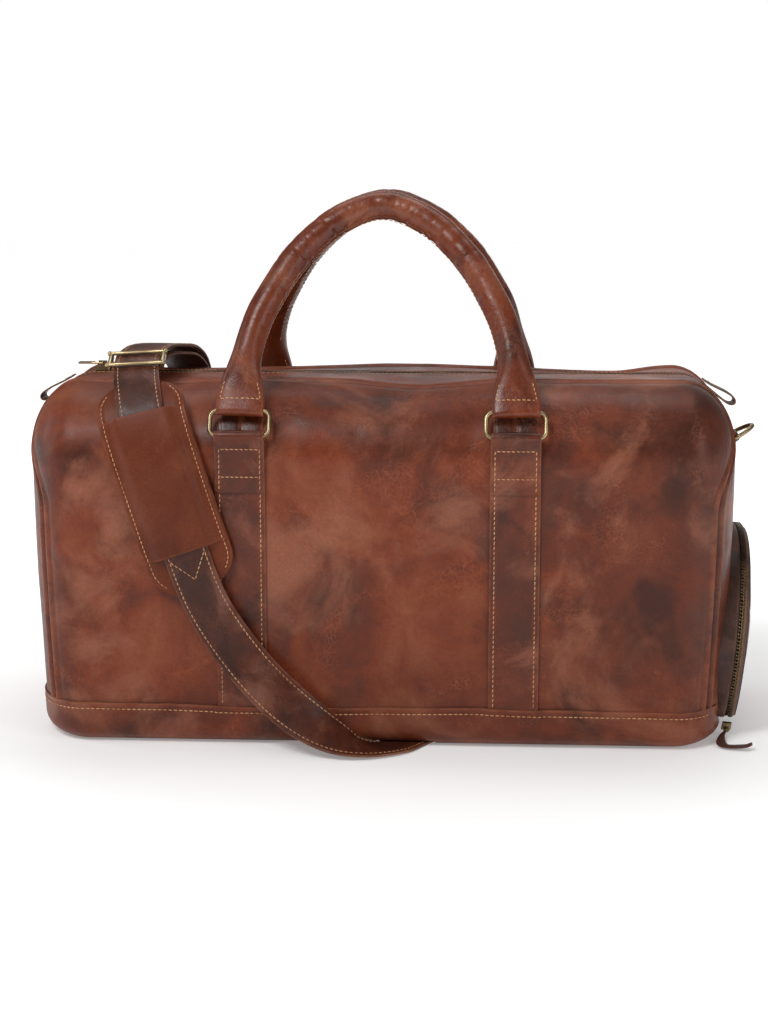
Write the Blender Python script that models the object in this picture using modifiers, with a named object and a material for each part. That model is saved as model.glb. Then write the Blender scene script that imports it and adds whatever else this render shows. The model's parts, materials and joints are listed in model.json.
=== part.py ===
"""Leather duffel bag with rolled handles, a shoulder strap and a shoe compartment at its right end.

Metres, +Z up. The origin is on the floor under the middle of the bag, +X runs along its length to the
right end, and the front faces -Y. Every piece is its own object, closed and clear of its neighbours.
"""

import math

import bmesh
import bpy
from mathutils import Matrix, Vector

# ---------------------------------------------------------------- driving dimensions
BAG_LENGTH = 0.598
BAG_DEPTH = 0.250
BAG_HEIGHT = 0.303
END_ROUND = 0.045        # how far the ends round in along X
FACE_ROUND = 0.067       # how far the front and back round in along Y
TOP_ROUND = 0.063        # height over which the top rounds in
BASE_ROUND = 0.016
END_TAPER = 0.008        # the ends lean in by this much at the floor
WALL = 0.003             # leather with its backing
BASE_WALL = 0.006        # leather on its stiffener
BASE_WRAP = 0.034        # height of the base panel up the sides
GAP = 0.0003             # clearance between pieces that touch
SEAM_INSET = 0.015       # front seam to front face, at the ends

MOUTH_LENGTH = 0.300
CHAIN_WIDTH = 0.0095
ZIP_END = BAG_LENGTH / 2 - 0.025  # how far the zip runs towards each end
LINING_INSET = 0.0064
LINING_WALL = 0.001
BOARD_SIZE = (0.500, 0.200, 0.003)
BOARD_CLEARANCE = 0.0006

HANDLE_SPACING = 0.227   # between the two legs of a handle
BAND_WIDTH = 0.042
BAND_THICK = 0.0023
WIRE = 0.0019            # radius of the ring wire
LOOP_CLEARANCE = 0.0006
LOOP_LEATHER = 0.0022
RING_AXIS_HEIGHT = BAG_HEIGHT - 0.039
RING_HEIGHT = 0.022      # between the centres of a ring's two long bars
RING_LEAN = math.radians(25)
RING_SIDE_CLEARANCE = 0.0016
RING_CORNER = 0.004
HANDLE_RISE = 0.1845     # along the leaning plane of the handle
HANDLE_LEAN = math.radians(26.6)
HANDLE_RADIUS = 0.012
HANDLE_LEATHER = 0.0027
HANDLE_SLIT = 0.0008
TAB_WIDTH = BAND_WIDTH - 0.002
TAB_LENGTH = 0.052

DRING_WIDTH = 0.032
DRING_REACH = 0.019
DRING_AXIS_HEIGHT = BAG_HEIGHT - 0.054
CHAPE_WIDTH = 0.026
CHAPE_LENGTH = 0.030
TAB_END_LENGTH = 0.034
TAB_END_WIDTH = 0.024

DOOR_SCALE = BAG_HEIGHT / 0.303  # the shoe compartment keeps its share of the height
DOOR_RADIUS = 0.098 * DOOR_SCALE
DOOR_CENTRE_HEIGHT = 0.074 * DOOR_SCALE
DOOR_FLOOR = 0.018       # height of the straight lower edge
DOOR_TILT = math.radians(5.0)
DOOR_WALL = 0.003
DOOR_STANDOFF = 0.0050   # from the end of the bag to the fixed side of the zip
DOOR_ZIP = 0.0020        # each side of the zip
DOOR_DOME = 0.011
POUCH_DEPTH = 0.105
POUCH_WIDTH = 0.170 * DOOR_SCALE
POUCH_HEIGHT = 0.146 * DOOR_SCALE
POUCH_WALL = 0.0012

STRAP_WIDTH = 0.038
STRAP_THICK = 0.0026
STRAP_SPACE = 0.0046     # between the two layers of the folded strap
PAD_LENGTH = 0.188
PAD_WIDTH = 0.074
PAD_THICK = 0.008
PAD_ROUND = 0.026
PAD_CLEARANCE = 0.0010   # between the strap and the pad that it slides through
SLEEVE_LENGTH = 0.118
SLEEVE_WIDTH = 0.064
CHANNEL_CLEARANCE = 0.0015

SLIDER_LENGTH = 0.012
SLIDER_WIDTH = 0.009
SLIDER_HEIGHT = 0.0046
PULL_LENGTH = 0.021

HOOK_WIRE = 0.0026
HOOK_HALF = 0.009
EYE_WIRE = 0.0020
EYE_HEIGHT = 0.013
EYE_CORNER = 0.003
COLLAR_LENGTH = 0.007
COLLAR_RADIUS = 0.0052
PIN_RADIUS = 0.0023
PIN_CLEARANCE = 0.0003

# ---------------------------------------------------------------- derived places
HALF_LENGTH = BAG_LENGTH / 2
HALF_DEPTH = BAG_DEPTH / 2
SHOULDER_HEIGHT = BAG_HEIGHT - TOP_ROUND
TOP_HALF_DEPTH = HALF_DEPTH - FACE_ROUND
SEAM_Y = HALF_DEPTH - SEAM_INSET
MOUTH = MOUTH_LENGTH / 2
LOOP_HOLE = WIRE + LOOP_CLEARANCE
LOOP_OUTER = LOOP_HOLE + LOOP_LEATHER
RING_AXIS_Y = HALF_DEPTH + GAP + LOOP_OUTER
RING_HALF_WIDTH = BAND_WIDTH / 2 + RING_SIDE_CLEARANCE + WIRE
FAR = 0.6                # beyond every piece, for cutters

LEATHER = (0.150, 0.036, 0.014)
DARK_LEATHER = (0.075, 0.022, 0.013)
PAD_LEATHER = (0.130, 0.040, 0.016)
BRASS = (0.360, 0.270, 0.130)
CLOTH = (0.050, 0.034, 0.024)
BOARD = (0.180, 0.130, 0.090)


# ---------------------------------------------------------------- scene and materials
def clear_scene():
    for obj in list(bpy.data.objects):
        bpy.data.objects.remove(obj, do_unlink=True)


def new_collection(name):
    collection = bpy.data.collections.new(name)
    bpy.context.scene.collection.children.link(collection)
    return collection


def material(name, colour, roughness, metallic=0.0):
    made = bpy.data.materials.new(name)
    made.use_nodes = True
    shader = made.node_tree.nodes["Principled BSDF"]
    shader.inputs["Base Color"].default_value = (*colour, 1.0)
    shader.inputs["Roughness"].default_value = roughness
    shader.inputs["Metallic"].default_value = metallic
    return made


clear_scene()
PARTS = new_collection("duffel_bag")
CUTTERS = new_collection("cutters")
FINISHES = {
    "leather": (LEATHER, 0.42, 0.0),
    "dark_leather": (DARK_LEATHER, 0.50, 0.0),
    "pad_leather": (PAD_LEATHER, 0.55, 0.0),
    "brass": (BRASS, 0.30, 1.0),
    "cloth": (CLOTH, 0.90, 0.0),
    "board": (BOARD, 0.80, 0.0),
}


def face_outwards(bm):
    bmesh.ops.recalc_face_normals(bm, faces=bm.faces)
    if bm.calc_volume(signed=True) < 0:
        bmesh.ops.reverse_faces(bm, faces=bm.faces)


def add_object(name, bm, finish, origin=(0, 0, 0)):
    """Makes a part from bm, whose points are world places, with its own origin at the given point."""
    face_outwards(bm)
    bmesh.ops.translate(bm, verts=bm.verts, vec=-Vector(origin))
    mesh = bpy.data.meshes.new(name)
    bm.to_mesh(mesh)
    bm.free()
    mesh.shade_smooth()
    mesh.set_sharp_from_angle(angle=math.radians(35))
    obj = bpy.data.objects.new(name, mesh)
    obj.location = origin
    PARTS.objects.link(obj)
    obj.data.materials.append(material(name, *FINISHES[finish]))
    return obj


def add_cutter(name, bm):
    face_outwards(bm)
    mesh = bpy.data.meshes.new(name)
    bm.to_mesh(mesh)
    bm.free()
    obj = bpy.data.objects.new(name, mesh)
    obj.hide_render = True
    obj.display_type = "WIRE"
    CUTTERS.objects.link(obj)
    return obj


def boolean(obj, other, operation="DIFFERENCE"):
    modifier = obj.modifiers.new(f"{operation.lower()} {other.name}", "BOOLEAN")
    modifier.operation = operation
    modifier.object = other


def solidify(obj, thickness):
    modifier = obj.modifiers.new("wall", "SOLIDIFY")
    modifier.thickness = thickness
    modifier.offset = -1
    modifier.use_even_offset = True


# ---------------------------------------------------------------- basic shapes, as bmesh in world places
def box(low, high):
    bm = bmesh.new()
    low, high = Vector(low), Vector(high)
    size = Matrix.Diagonal((*(high - low), 1))
    bmesh.ops.create_cube(bm, size=1.0, matrix=Matrix.Translation((low + high) / 2) @ size)
    return bm


def centred_box(centre, size):
    half = Vector(size) / 2
    return box(Vector(centre) - half, Vector(centre) + half)


def cylinder(start, end, radius, segments=16):
    start, end = Vector(start), Vector(end)
    along = end - start
    turn = along.to_track_quat("Z", "Y").to_matrix().to_4x4()
    bm = bmesh.new()
    bmesh.ops.create_cone(bm, cap_ends=True, segments=segments, radius1=radius, radius2=radius,
                          depth=along.length, matrix=Matrix.Translation((start + end) / 2) @ turn)
    return bm


def loft(loops):
    """One closed body through loops of equally many points, with a flat cap at each end."""
    bm = bmesh.new()
    rings = [[bm.verts.new(point) for point in loop] for loop in loops]
    count = len(rings[0])
    for low, high in zip(rings, rings[1:]):
        for i in range(count):
            j = (i + 1) % count
            bm.faces.new((low[i], low[j], high[j], high[i]))
    bm.faces.new(rings[0])
    bm.faces.new(reversed(rings[-1]))
    return bm


def prism_along_x(outline, low, high):
    """An outline of (y, z) points, carried from x = low to x = high."""
    return loft([[(x, y, z) for y, z in outline] for x in (low, high)])


def prism_along_y(outline, low, high):
    return loft([[(x, y, z) for x, z in outline] for y in (low, high)])


def arc(centre, radius, start, end, steps):
    """Points of (u, v) on a circle, angles in degrees."""
    angles = [math.radians(start + (end - start) * i / steps) for i in range(steps + 1)]
    return [(centre[0] + radius * math.cos(a), centre[1] + radius * math.sin(a)) for a in angles]


def joined(*meshes):
    """Puts several bmeshes in one, as separate bodies."""
    whole = bmesh.new()
    for bm in meshes:
        scratch = bpy.data.meshes.new("scratch")
        bm.to_mesh(scratch)
        whole.from_mesh(scratch)
        bm.free()
        bpy.data.meshes.remove(scratch)
    return whole


def united(name, bodies, finish, origin=(0, 0, 0)):
    """One part that is the union of several overlapping bodies."""
    obj = add_object(name, bodies[0], finish)
    for i, body in enumerate(bodies[1:]):
        boolean(obj, add_cutter(f"{name}_join_{i}", body), "UNION")
    if Vector(origin).length > 0:
        obj.data.transform(Matrix.Translation(-Vector(origin)))
        obj.location = origin
    return obj


def wire_loop(name, points, radius, finish, origin=(0, 0, 0)):
    """A closed ring of round wire through world points, as a curve with a bevel."""
    curve = bpy.data.curves.new(name, "CURVE")
    curve.dimensions = "3D"
    curve.bevel_depth = radius
    curve.bevel_resolution = 2
    spline = curve.splines.new("POLY")
    spline.points.add(len(points) - 1)
    for target, point in zip(spline.points, points):
        target.co = (*(Vector(point) - Vector(origin)), 1)
    spline.use_cyclic_u = True
    obj = bpy.data.objects.new(name, curve)
    obj.location = origin
    PARTS.objects.link(obj)
    curve.materials.append(material(name, *FINISHES[finish]))
    return obj


def wire_mesh(points, radius, cyclic, segments=8):
    """A round wire through world points, as a mesh that can be cut or joined."""
    points = [Vector(p) for p in points]
    count = len(points)
    normal = plane_normal(points)
    loops = []
    for i, point in enumerate(points):
        before = points[i - 1] if cyclic or i else point
        after = points[(i + 1) % count] if cyclic or i < count - 1 else point
        along = (after - before).normalized()
        side = along.cross(normal).normalized()
        stretch = 1 / max(0.7, (after - point).normalized().dot(along)) if after != point else 1
        loops.append([point + side * (radius * stretch * math.cos(a)) + normal * (radius * math.sin(a))
                      for a in (2 * math.pi * k / segments for k in range(segments))])
    if not cyclic:
        return loft(loops)
    bm = bmesh.new()
    rings = [[bm.verts.new(p) for p in loop] for loop in loops]
    for low, high in zip(rings, rings[1:] + rings[:1]):
        for i in range(segments):
            j = (i + 1) % segments
            bm.faces.new((low[i], low[j], high[j], high[i]))
    return bm


def plane_normal(points):
    """Normal of the plane that flat wire points lie in."""
    first = points[0]
    for second in points[1:]:
        for third in points[1:]:
            normal = (second - first).cross(third - first)
            if normal.length > 1e-6:
                return normal.normalized()
    return Vector((0, 0, 1))


def rounded_rectangle(half_width, half_height, corner, steps=3):
    """(u, v) points of a rectangle with round corners, about its centre."""
    points = []
    for sign_u, sign_v, start in ((1, 1, 0), (-1, 1, 90), (-1, -1, 180), (1, -1, 270)):
        centre = (sign_u * (half_width - corner), sign_v * (half_height - corner))
        points += arc(centre, corner, start, start + 90, steps)
    return points


# ---------------------------------------------------------------- the body of the bag
def body_levels():
    """(height, inset along X, inset along Y, taper) of each level of the body, from floor to top."""
    levels = []
    for step in range(4):
        angle = math.radians(30 * step)
        inset = BASE_ROUND * (1 - math.sin(angle))
        levels.append((BASE_ROUND * (1 - math.cos(angle)), inset, inset))
    levels.append((SHOULDER_HEIGHT * 0.5, 0, 0))
    for step in range(6):
        angle = math.radians(18 * step)
        share = 1 - math.cos(angle)
        levels.append((SHOULDER_HEIGHT + TOP_ROUND * math.sin(angle), END_ROUND * share, FACE_ROUND * share))
    return levels


def body_loop(height, inset_x, inset_y, shrink):
    """The outline of the body at one height, shrunk all round by a distance."""
    lean = END_TAPER * max(0.0, 1 - height / SHOULDER_HEIGHT) ** 2
    half_x = HALF_LENGTH - inset_x - lean - shrink
    half_y = HALF_DEPTH - inset_y - shrink
    corner_x = max(END_ROUND - inset_x, 0.004)
    corner_y = max(FACE_ROUND - inset_y, 0.004)
    z = shrink + height * (BAG_HEIGHT - 2 * shrink) / BAG_HEIGHT
    loop = []
    for sign_x, sign_y, start in ((1, 1, 0), (-1, 1, 90), (-1, -1, 180), (1, -1, 270)):
        for step in range(6):
            angle = math.radians(start + 18 * step)
            loop.append((sign_x * (half_x - corner_x) + corner_x * math.cos(angle),
                         sign_y * (half_y - corner_y) + corner_y * math.sin(angle), z))
        if sign_x == sign_y:
            sides = [sign_x * (half_x - corner_x) * t for t in (0.6, 0.2, -0.2, -0.6)]
            loop += [(x, sign_y * half_y, z) for x in sides]
        else:
            loop.append((sign_x * half_x, 0, z))
    return loop


def body_solid(shrink=0.0):
    return loft([body_loop(*level, shrink) for level in body_levels()])


def seam_y(height):
    """Distance from the middle plane to the seam beside the front or back panel."""
    low, high = SHOULDER_HEIGHT - 0.040, BAG_HEIGHT - 0.005
    share = min(1.0, max(0.0, (height - low) / (high - low)))
    return SEAM_Y - (SEAM_Y - TOP_HALF_DEPTH) * share * share * (3 - 2 * share)


def seam_line(offset):
    heights = [BASE_WRAP + GAP / 2, SHOULDER_HEIGHT - 0.040]
    heights += [SHOULDER_HEIGHT - 0.040 + (TOP_ROUND + 0.035) * i / 7 for i in range(1, 8)]
    return [(seam_y(z) + offset, z) for z in heights] + [(TOP_HALF_DEPTH + offset, BAG_HEIGHT + 0.05)]


def face_cutter(name, side):
    """The region that the front (side = -1) or back (side = 1) panel is cut from."""
    line = [(side * y, z) for y, z in seam_line(GAP * 0.7)]
    outline = line + [(side * FAR, BAG_HEIGHT + 0.05), (side * FAR, BASE_WRAP + GAP / 2)]
    return add_cutter(name, prism_along_x(outline, -FAR, FAR))


def end_cutter(name, side):
    line = seam_line(-GAP * 0.7)
    outline = [(-y, z) for y, z in line] + [(y, z) for y, z in reversed(line)]
    low, high = sorted((side * (MOUTH + GAP / 2), side * FAR))
    return add_cutter(name, prism_along_x(outline, low, high))


def shell_part(name, finish, region, wall=WALL, origin=(0, 0, 0)):
    """The stretch of the hollow body that lies in a cutter's region."""
    obj = add_object(name, body_solid(), finish, origin)
    solidify(obj, wall)
    boolean(obj, region, "INTERSECT")
    return obj


def make_body():
    shell_part("front_panel", "leather", face_cutter("front_region", -1))
    shell_part("back_panel", "leather", face_cutter("back_region", 1))
    base_region = add_cutter("base_region", box((-FAR, -FAR, -0.01), (FAR, FAR, BASE_WRAP - GAP / 2)))
    base = shell_part("base_panel", "leather", base_region, BASE_WALL)
    boolean(base, strap_channel())
    slot_half = CHAIN_WIDTH / 2 + GAP / 2
    for name, side in (("left", -1), ("right", 1)):
        end = shell_part(f"{name}_end_panel", "leather", end_cutter(f"{name}_end_region", side))
        low, high = sorted((side * MOUTH * 0.9, side * (ZIP_END + GAP)))
        slot = box((low, -slot_half, SHOULDER_HEIGHT), (high, slot_half, FAR))
        boolean(end, add_cutter(f"{name}_zip_slot", slot))
        if side > 0:
            boolean(end, door_opening("door_cut", DOOR_RADIUS - DOOR_WALL))


def make_mouth():
    """The two flaps of the mouth, which turn about the seams, and the zip between them."""
    low, high = -MOUTH + GAP / 2, MOUTH - GAP / 2
    chain = CHAIN_WIDTH / 2
    for name, side in (("front", -1), ("back", 1)):
        hinge = (0, side * TOP_HALF_DEPTH, BAG_HEIGHT)
        edges = sorted((side * (TOP_HALF_DEPTH - GAP / 2), side * (chain + GAP / 2)))
        region = box((low, edges[0], SHOULDER_HEIGHT), (high, edges[1], FAR))
        centred = add_cutter(f"{name}_lip_region", region)
        shell_part(f"{name}_lip", "leather", centred, WALL, hinge)
        edges = sorted((side * (chain - GAP / 2), side * GAP / 2))
        add_object(f"{name}_zip_chain", box((low, edges[0], BAG_HEIGHT - WALL), (high, edges[1], BAG_HEIGHT)),
                   "brass", hinge)
    for name, side in (("left", -1), ("right", 1)):
        xs = sorted((side * (MOUTH + GAP / 2), side * ZIP_END))
        region = box((xs[0], GAP / 2 - chain, SHOULDER_HEIGHT), (xs[1], chain - GAP / 2, FAR))
        shell_part(f"{name}_zip_end", "brass", add_cutter(f"{name}_zip_end_region", region))


def make_inside():
    lining = add_object("lining", body_solid(LINING_INSET), "cloth")
    solidify(lining, LINING_WALL)
    mouth = box((-MOUTH, -TOP_HALF_DEPTH, SHOULDER_HEIGHT), (MOUTH, TOP_HALF_DEPTH, FAR))
    boolean(lining, add_cutter("lining_mouth", mouth))
    boolean(lining, door_opening("lining_door", DOOR_RADIUS - DOOR_WALL))
    floor = LINING_INSET + LINING_WALL + BOARD_CLEARANCE
    add_object("base_board", centred_box((0, 0, floor + BOARD_SIZE[2] / 2), BOARD_SIZE), "board")


# ---------------------------------------------------------------- bands, rings and handles
def loop_strip(plate_low, plate_u, loop_u, loop_v):
    """Outline of a strip whose upper end folds round a bar: a plate from plate_low up to the round loop.

    u is the distance outwards and v the height; the plate's inner face is at plate_u.
    """
    outer = plate_u + BAND_THICK
    meet = math.degrees(math.acos(min(1.0, (loop_u - outer) / LOOP_OUTER)))
    ring = arc((loop_u, loop_v), LOOP_OUTER, 180, meet - 180, 14)
    return [(plate_u, plate_low)] + ring + [(outer, plate_low)]


def make_bands():
    for face, side in (("front", -1), ("back", 1)):
        outline = loop_strip(BASE_WRAP + GAP, HALF_DEPTH + GAP, RING_AXIS_Y, RING_AXIS_HEIGHT)
        placed = [(side * u, v) for u, v in outline]
        for hand, x in (("left", -HANDLE_SPACING / 2), ("right", HANDLE_SPACING / 2)):
            low, high = x - BAND_WIDTH / 2, x + BAND_WIDTH / 2
            band = add_object(f"{face}_{hand}_band", prism_along_x(placed, low, high), "leather")
            axis = [(x + s * BAND_WIDTH, side * RING_AXIS_Y, RING_AXIS_HEIGHT) for s in (-1, 1)]
            boolean(band, add_cutter(f"{face}_{hand}_band_hole", cylinder(*axis, LOOP_HOLE, 12)))


def leaning(side, lean, x, rise):
    """A place above the lower bar of the rings, up a plane that leans in over the bag."""
    return Vector((x, side * (RING_AXIS_Y - rise * math.sin(lean)), RING_AXIS_HEIGHT + rise * math.cos(lean)))


def make_rings():
    for face, side in (("front", -1), ("back", 1)):
        axis = (0, side * RING_AXIS_Y, RING_AXIS_HEIGHT)
        for hand, x in (("left", -HANDLE_SPACING / 2), ("right", HANDLE_SPACING / 2)):
            flat = rounded_rectangle(RING_HALF_WIDTH, RING_HEIGHT / 2, RING_CORNER)
            points = [leaning(side, RING_LEAN, x + u, RING_HEIGHT / 2 + v) for u, v in flat]
            wire_loop(f"{face}_{hand}_ring", points, WIRE, "brass", axis)


def catmull(points, per_span):
    """A smooth curve through the points."""
    points = [Vector(p) for p in points]
    ends = [2 * points[0] - points[1]] + points + [2 * points[-1] - points[-2]]
    curve = []
    for a, b, c, d in zip(ends, ends[1:], ends[2:], ends[3:]):
        for i in range(per_span):
            t = i / per_span
            curve.append(0.5 * (2 * b + (c - a) * t + (2 * a - 5 * b + 4 * c - d) * t ** 2
                                + (3 * b - a - 3 * c + d) * t ** 3))
    return curve + [points[-1]]


def handle_frames(side):
    """(place, inward direction, face direction, length so far) along a handle from left bar to right bar."""
    half = HANDLE_SPACING / 2
    leg = [(half, 0), (half * 0.99, 0.17), (half * 0.93, 0.37), (half * 0.83, 0.53), (half * 0.635, 0.737),
           (half * 0.35, 0.916)]
    flat = [(-x, v) for x, v in leg] + [(0, 1)] + [(x, v) for x, v in reversed(leg)]
    foot = leaning(side, RING_LEAN, 0, RING_HEIGHT)
    up = Vector((0, -side * math.sin(HANDLE_LEAN), math.cos(HANDLE_LEAN)))
    route = catmull([foot + Vector((x, 0, 0)) + up * (v * HANDLE_RISE) for x, v in flat], 3)
    face = up.cross(Vector((1, 0, 0))) * side
    frames, length = [], 0.0
    for i, place in enumerate(route):
        along = (route[min(i + 1, len(route) - 1)] - route[max(i - 1, 0)]).normalized()
        if i:
            length += (place - route[i - 1]).length
        inward = along.cross(face).normalized() * -side
        frames.append((place, inward, face, length))
    return frames


def ellipse_loop(frame, half_wide, half_thick, count=14):
    place, inward, face, _ = frame
    angles = [2 * math.pi * (k + 0.5) / count for k in range(count)]
    return [place + inward * (half_wide * math.cos(a)) + face * (half_thick * math.sin(a)) for a in angles]


def split_tube_loop(frame, outer, inner, slit, count=14):
    """Section of a tube that is slit along the inside of the arch."""
    place, inward, face, _ = frame
    gap = slit / 2 / outer
    angles = [gap + (2 * math.pi - 2 * gap) * k / count for k in range(count + 1)]
    there = [(outer, a) for a in angles] + [(inner, a) for a in reversed(angles)]
    return [place + inward * (r * math.cos(a)) + face * (r * math.sin(a)) for r, a in there]


def tab_loops(frames, reverse):
    """Sections of a handle end, from the flat fold round the ring to the round grip."""
    total = frames[-1][3]
    ordered = list(reversed(frames)) if reverse else frames
    loops = []
    for frame in ordered:
        length = total - frame[3] if reverse else frame[3]
        share = min(1.0, length / TAB_LENGTH)
        share = share * share * (3 - 2 * share)
        wide = TAB_WIDTH / 2 + (HANDLE_RADIUS - TAB_WIDTH / 2) * share
        thick = LOOP_OUTER + (HANDLE_RADIUS - LOOP_OUTER) * share
        loops.append(ellipse_loop(frame, wide, thick))
        if length > TAB_LENGTH:
            break
    first, inward, face, _ = ordered[0]
    down = (first - ordered[1][0]).normalized() * LOOP_OUTER
    foot = ellipse_loop((first + down, inward, face, 0), TAB_WIDTH / 2, LOOP_OUTER * 0.75)
    return [foot] + loops


def make_handles():
    for face_name, side in (("front", -1), ("back", 1)):
        frames = handle_frames(side)
        total = frames[-1][3]
        inner = HANDLE_RADIUS - HANDLE_LEATHER
        grip = [f for f in frames if TAB_LENGTH * 0.8 < f[3] < total - TAB_LENGTH * 0.8]
        cover = loft([split_tube_loop(f, HANDLE_RADIUS, inner, HANDLE_SLIT) for f in grip])
        tabs = [loft(tab_loops(frames, reverse)) for reverse in (False, True)]
        origin = leaning(side, RING_LEAN, 0, RING_HEIGHT)
        handle = united(f"{face_name}_handle", [cover] + tabs, "leather", origin)
        for i, x in enumerate((-HANDLE_SPACING / 2, HANDLE_SPACING / 2)):
            axis = [origin + Vector((x + s * TAB_WIDTH, 0, 0)) for s in (-1, 1)]
            boolean(handle, add_cutter(f"{face_name}_handle_hole_{i}", cylinder(*axis, LOOP_HOLE, 12)))
        middle = [f for f in grip if TAB_LENGTH * 1.45 < f[3] < total - TAB_LENGTH * 1.45]
        core = loft([ellipse_loop(f, inner - 2 * GAP, inner - 2 * GAP, 10) for f in middle])
        add_object(f"{face_name}_handle_core", core, "board", origin)


# ---------------------------------------------------------------- rings and tabs at the ends
def end_x(height):
    """Distance from the middle to the outside of the end, at a height on the middle plane."""
    if height < SHOULDER_HEIGHT:
        return HALF_LENGTH - END_TAPER * (1 - height / SHOULDER_HEIGHT) ** 2
    share = (height - SHOULDER_HEIGHT) / TOP_ROUND
    return HALF_LENGTH - END_ROUND * (1 - math.sqrt(max(0.0, 1 - share * share)))


def make_end_rings():
    for hand, side, lift in (("left", -1, math.radians(-62)), ("right", 1, math.radians(30))):
        plate_low = DRING_AXIS_HEIGHT - CHAPE_LENGTH
        axis_u = HALF_LENGTH + GAP + LOOP_OUTER
        outline = loop_strip(plate_low, HALF_LENGTH + GAP, axis_u, DRING_AXIS_HEIGHT)
        placed = [(side * u, v) for u, v in outline]
        half = CHAPE_WIDTH / 2
        chape = add_object(f"{hand}_chape", prism_along_y(placed, -half, half), "dark_leather")
        axis = [(side * axis_u, s * CHAPE_WIDTH, DRING_AXIS_HEIGHT) for s in (-1, 1)]
        boolean(chape, add_cutter(f"{hand}_chape_hole", cylinder(*axis, LOOP_HOLE, 12)))
        half_bar = DRING_WIDTH / 2
        bow = [(DRING_REACH * math.sin(math.radians(a)), half_bar * math.cos(math.radians(a)))
               for a in range(15, 166, 15)]
        flat = [(0, half_bar - 0.001)] + bow + [(0, 0.001 - half_bar)]
        out = Vector((side * math.cos(lift), 0, math.sin(lift)))
        centre = Vector((side * axis_u, 0, DRING_AXIS_HEIGHT))
        points = [centre + out * u + Vector((0, v, 0)) for u, v in flat]
        wire_loop(f"{hand}_d_ring", points, WIRE, "brass", centre)


def make_zip_tabs():
    """Folded leather ends of the zip, which stand out from the upper corners of the bag."""
    share = (ZIP_END - HALF_LENGTH + END_ROUND) / END_ROUND
    height = SHOULDER_HEIGHT + TOP_ROUND * math.sqrt(1 - share * share)
    slope = math.atan2(-TOP_ROUND * share, END_ROUND * math.sqrt(1 - share * share))
    for hand, side in (("left", -1), ("right", 1)):
        out = Vector((side * math.cos(slope), 0, math.sin(slope)))
        up = Vector((-side * math.sin(slope), 0, math.cos(slope)))
        foot = Vector((side * ZIP_END, 0, height)) + up * GAP
        half = TAB_END_WIDTH / 2
        loops = []
        for reach, narrow in ((0, 1), (TAB_END_LENGTH * 0.8, 1), (TAB_END_LENGTH, 0.8)):
            corners = ((-half * narrow, 0), (half * narrow, 0), (half * narrow, 0.0045), (-half * narrow, 0.0045))
            loops.append([foot + out * reach + up * v + Vector((0, u, 0)) for u, v in corners])
        add_object(f"{hand}_zip_tab", loft(loops), "dark_leather")


# ---------------------------------------------------------------- shoe compartment
DOOR_AXIS_POINT = Vector((end_x(DOOR_CENTRE_HEIGHT), 0, DOOR_CENTRE_HEIGHT))
DOOR_FRAME = Matrix.Translation(DOOR_AXIS_POINT) @ Matrix.Rotation(DOOR_TILT, 4, "Y")
DOOR_CHORD = DOOR_FLOOR - DOOR_CENTRE_HEIGHT
DOOR_HALF_ANGLE = math.degrees(math.asin(-DOOR_CHORD / DOOR_RADIUS))
DOOR_ZIP_START = DOOR_STANDOFF + 2 * GAP


def in_door_frame(bm):
    bm.transform(DOOR_FRAME)
    return bm


def door_outline(radius):
    """(y, z) points of the compartment's arch about its centre, closed by the straight lower edge."""
    angle = math.degrees(math.asin(-DOOR_CHORD / radius))
    return arc((0, 0), radius, -angle, 180 + angle, 30)


def door_opening(name, radius):
    return add_cutter(name, in_door_frame(prism_along_x(door_outline(radius), -0.035, 0.05)))


def door_band(name, radius, low, high, finish, origin=(0, 0, 0)):
    """A rim that follows the arch between two distances out from the end of the bag."""
    obj = add_object(name, in_door_frame(prism_along_x(door_outline(radius), low, high)), finish)
    inside = [(y * (1 - DOOR_WALL / radius), z * (1 - DOOR_WALL / radius) + 0.0) for y, z in door_outline(radius)]
    cutter = add_cutter(f"{name}_inside", in_door_frame(prism_along_x(inside, low - 0.01, high + 0.01)))
    boolean(obj, cutter)
    if Vector(origin).length > 0:
        obj.data.transform(Matrix.Translation(-Vector(origin)))
        obj.location = origin
    return obj


def door_hinge_point():
    return DOOR_FRAME @ Vector((DOOR_ZIP_START + DOOR_ZIP + GAP / 2, 0, DOOR_CHORD - GAP))


def make_shoe_compartment():
    wall = door_band("shoe_rim", DOOR_RADIUS, -0.016, DOOR_STANDOFF, "dark_leather")
    boolean(wall, add_cutter("body_clearance", body_solid(-2 * GAP)))
    door_band("shoe_zip_fixed_side", DOOR_RADIUS, DOOR_STANDOFF + GAP, DOOR_STANDOFF + GAP + DOOR_ZIP, "brass")
    hinge = door_hinge_point()
    start = DOOR_ZIP_START + DOOR_ZIP + GAP
    door_band("shoe_zip_door_side", DOOR_RADIUS, start, start + DOOR_ZIP, "brass", hinge)
    make_door(start + DOOR_ZIP + GAP, hinge)
    make_pouch()


def make_door(low, hinge):
    """The domed cover of the compartment, hollow behind."""
    steps = 5
    shares = [math.radians(90 * i / steps) for i in range(steps)]
    outer = [[(low + 0.002 + DOOR_DOME * math.sin(a), y * math.cos(a) ** 0.6, z * math.cos(a) ** 0.6)
              for y, z in door_outline(DOOR_RADIUS)] for a in shares]
    rim = [[(low, y, z) for y, z in door_outline(DOOR_RADIUS)]]
    door = add_object("shoe_door", in_door_frame(loft(rim + outer)), "leather")
    keep = 1 - DOOR_WALL / DOOR_RADIUS
    hollow = [[(x - DOOR_WALL, y * keep, z * keep) for x, y, z in loop] for loop in outer]
    boolean(door, add_cutter("shoe_door_hollow", in_door_frame(loft(hollow))))
    door.data.transform(Matrix.Translation(-hinge))
    door.location = hinge


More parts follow.
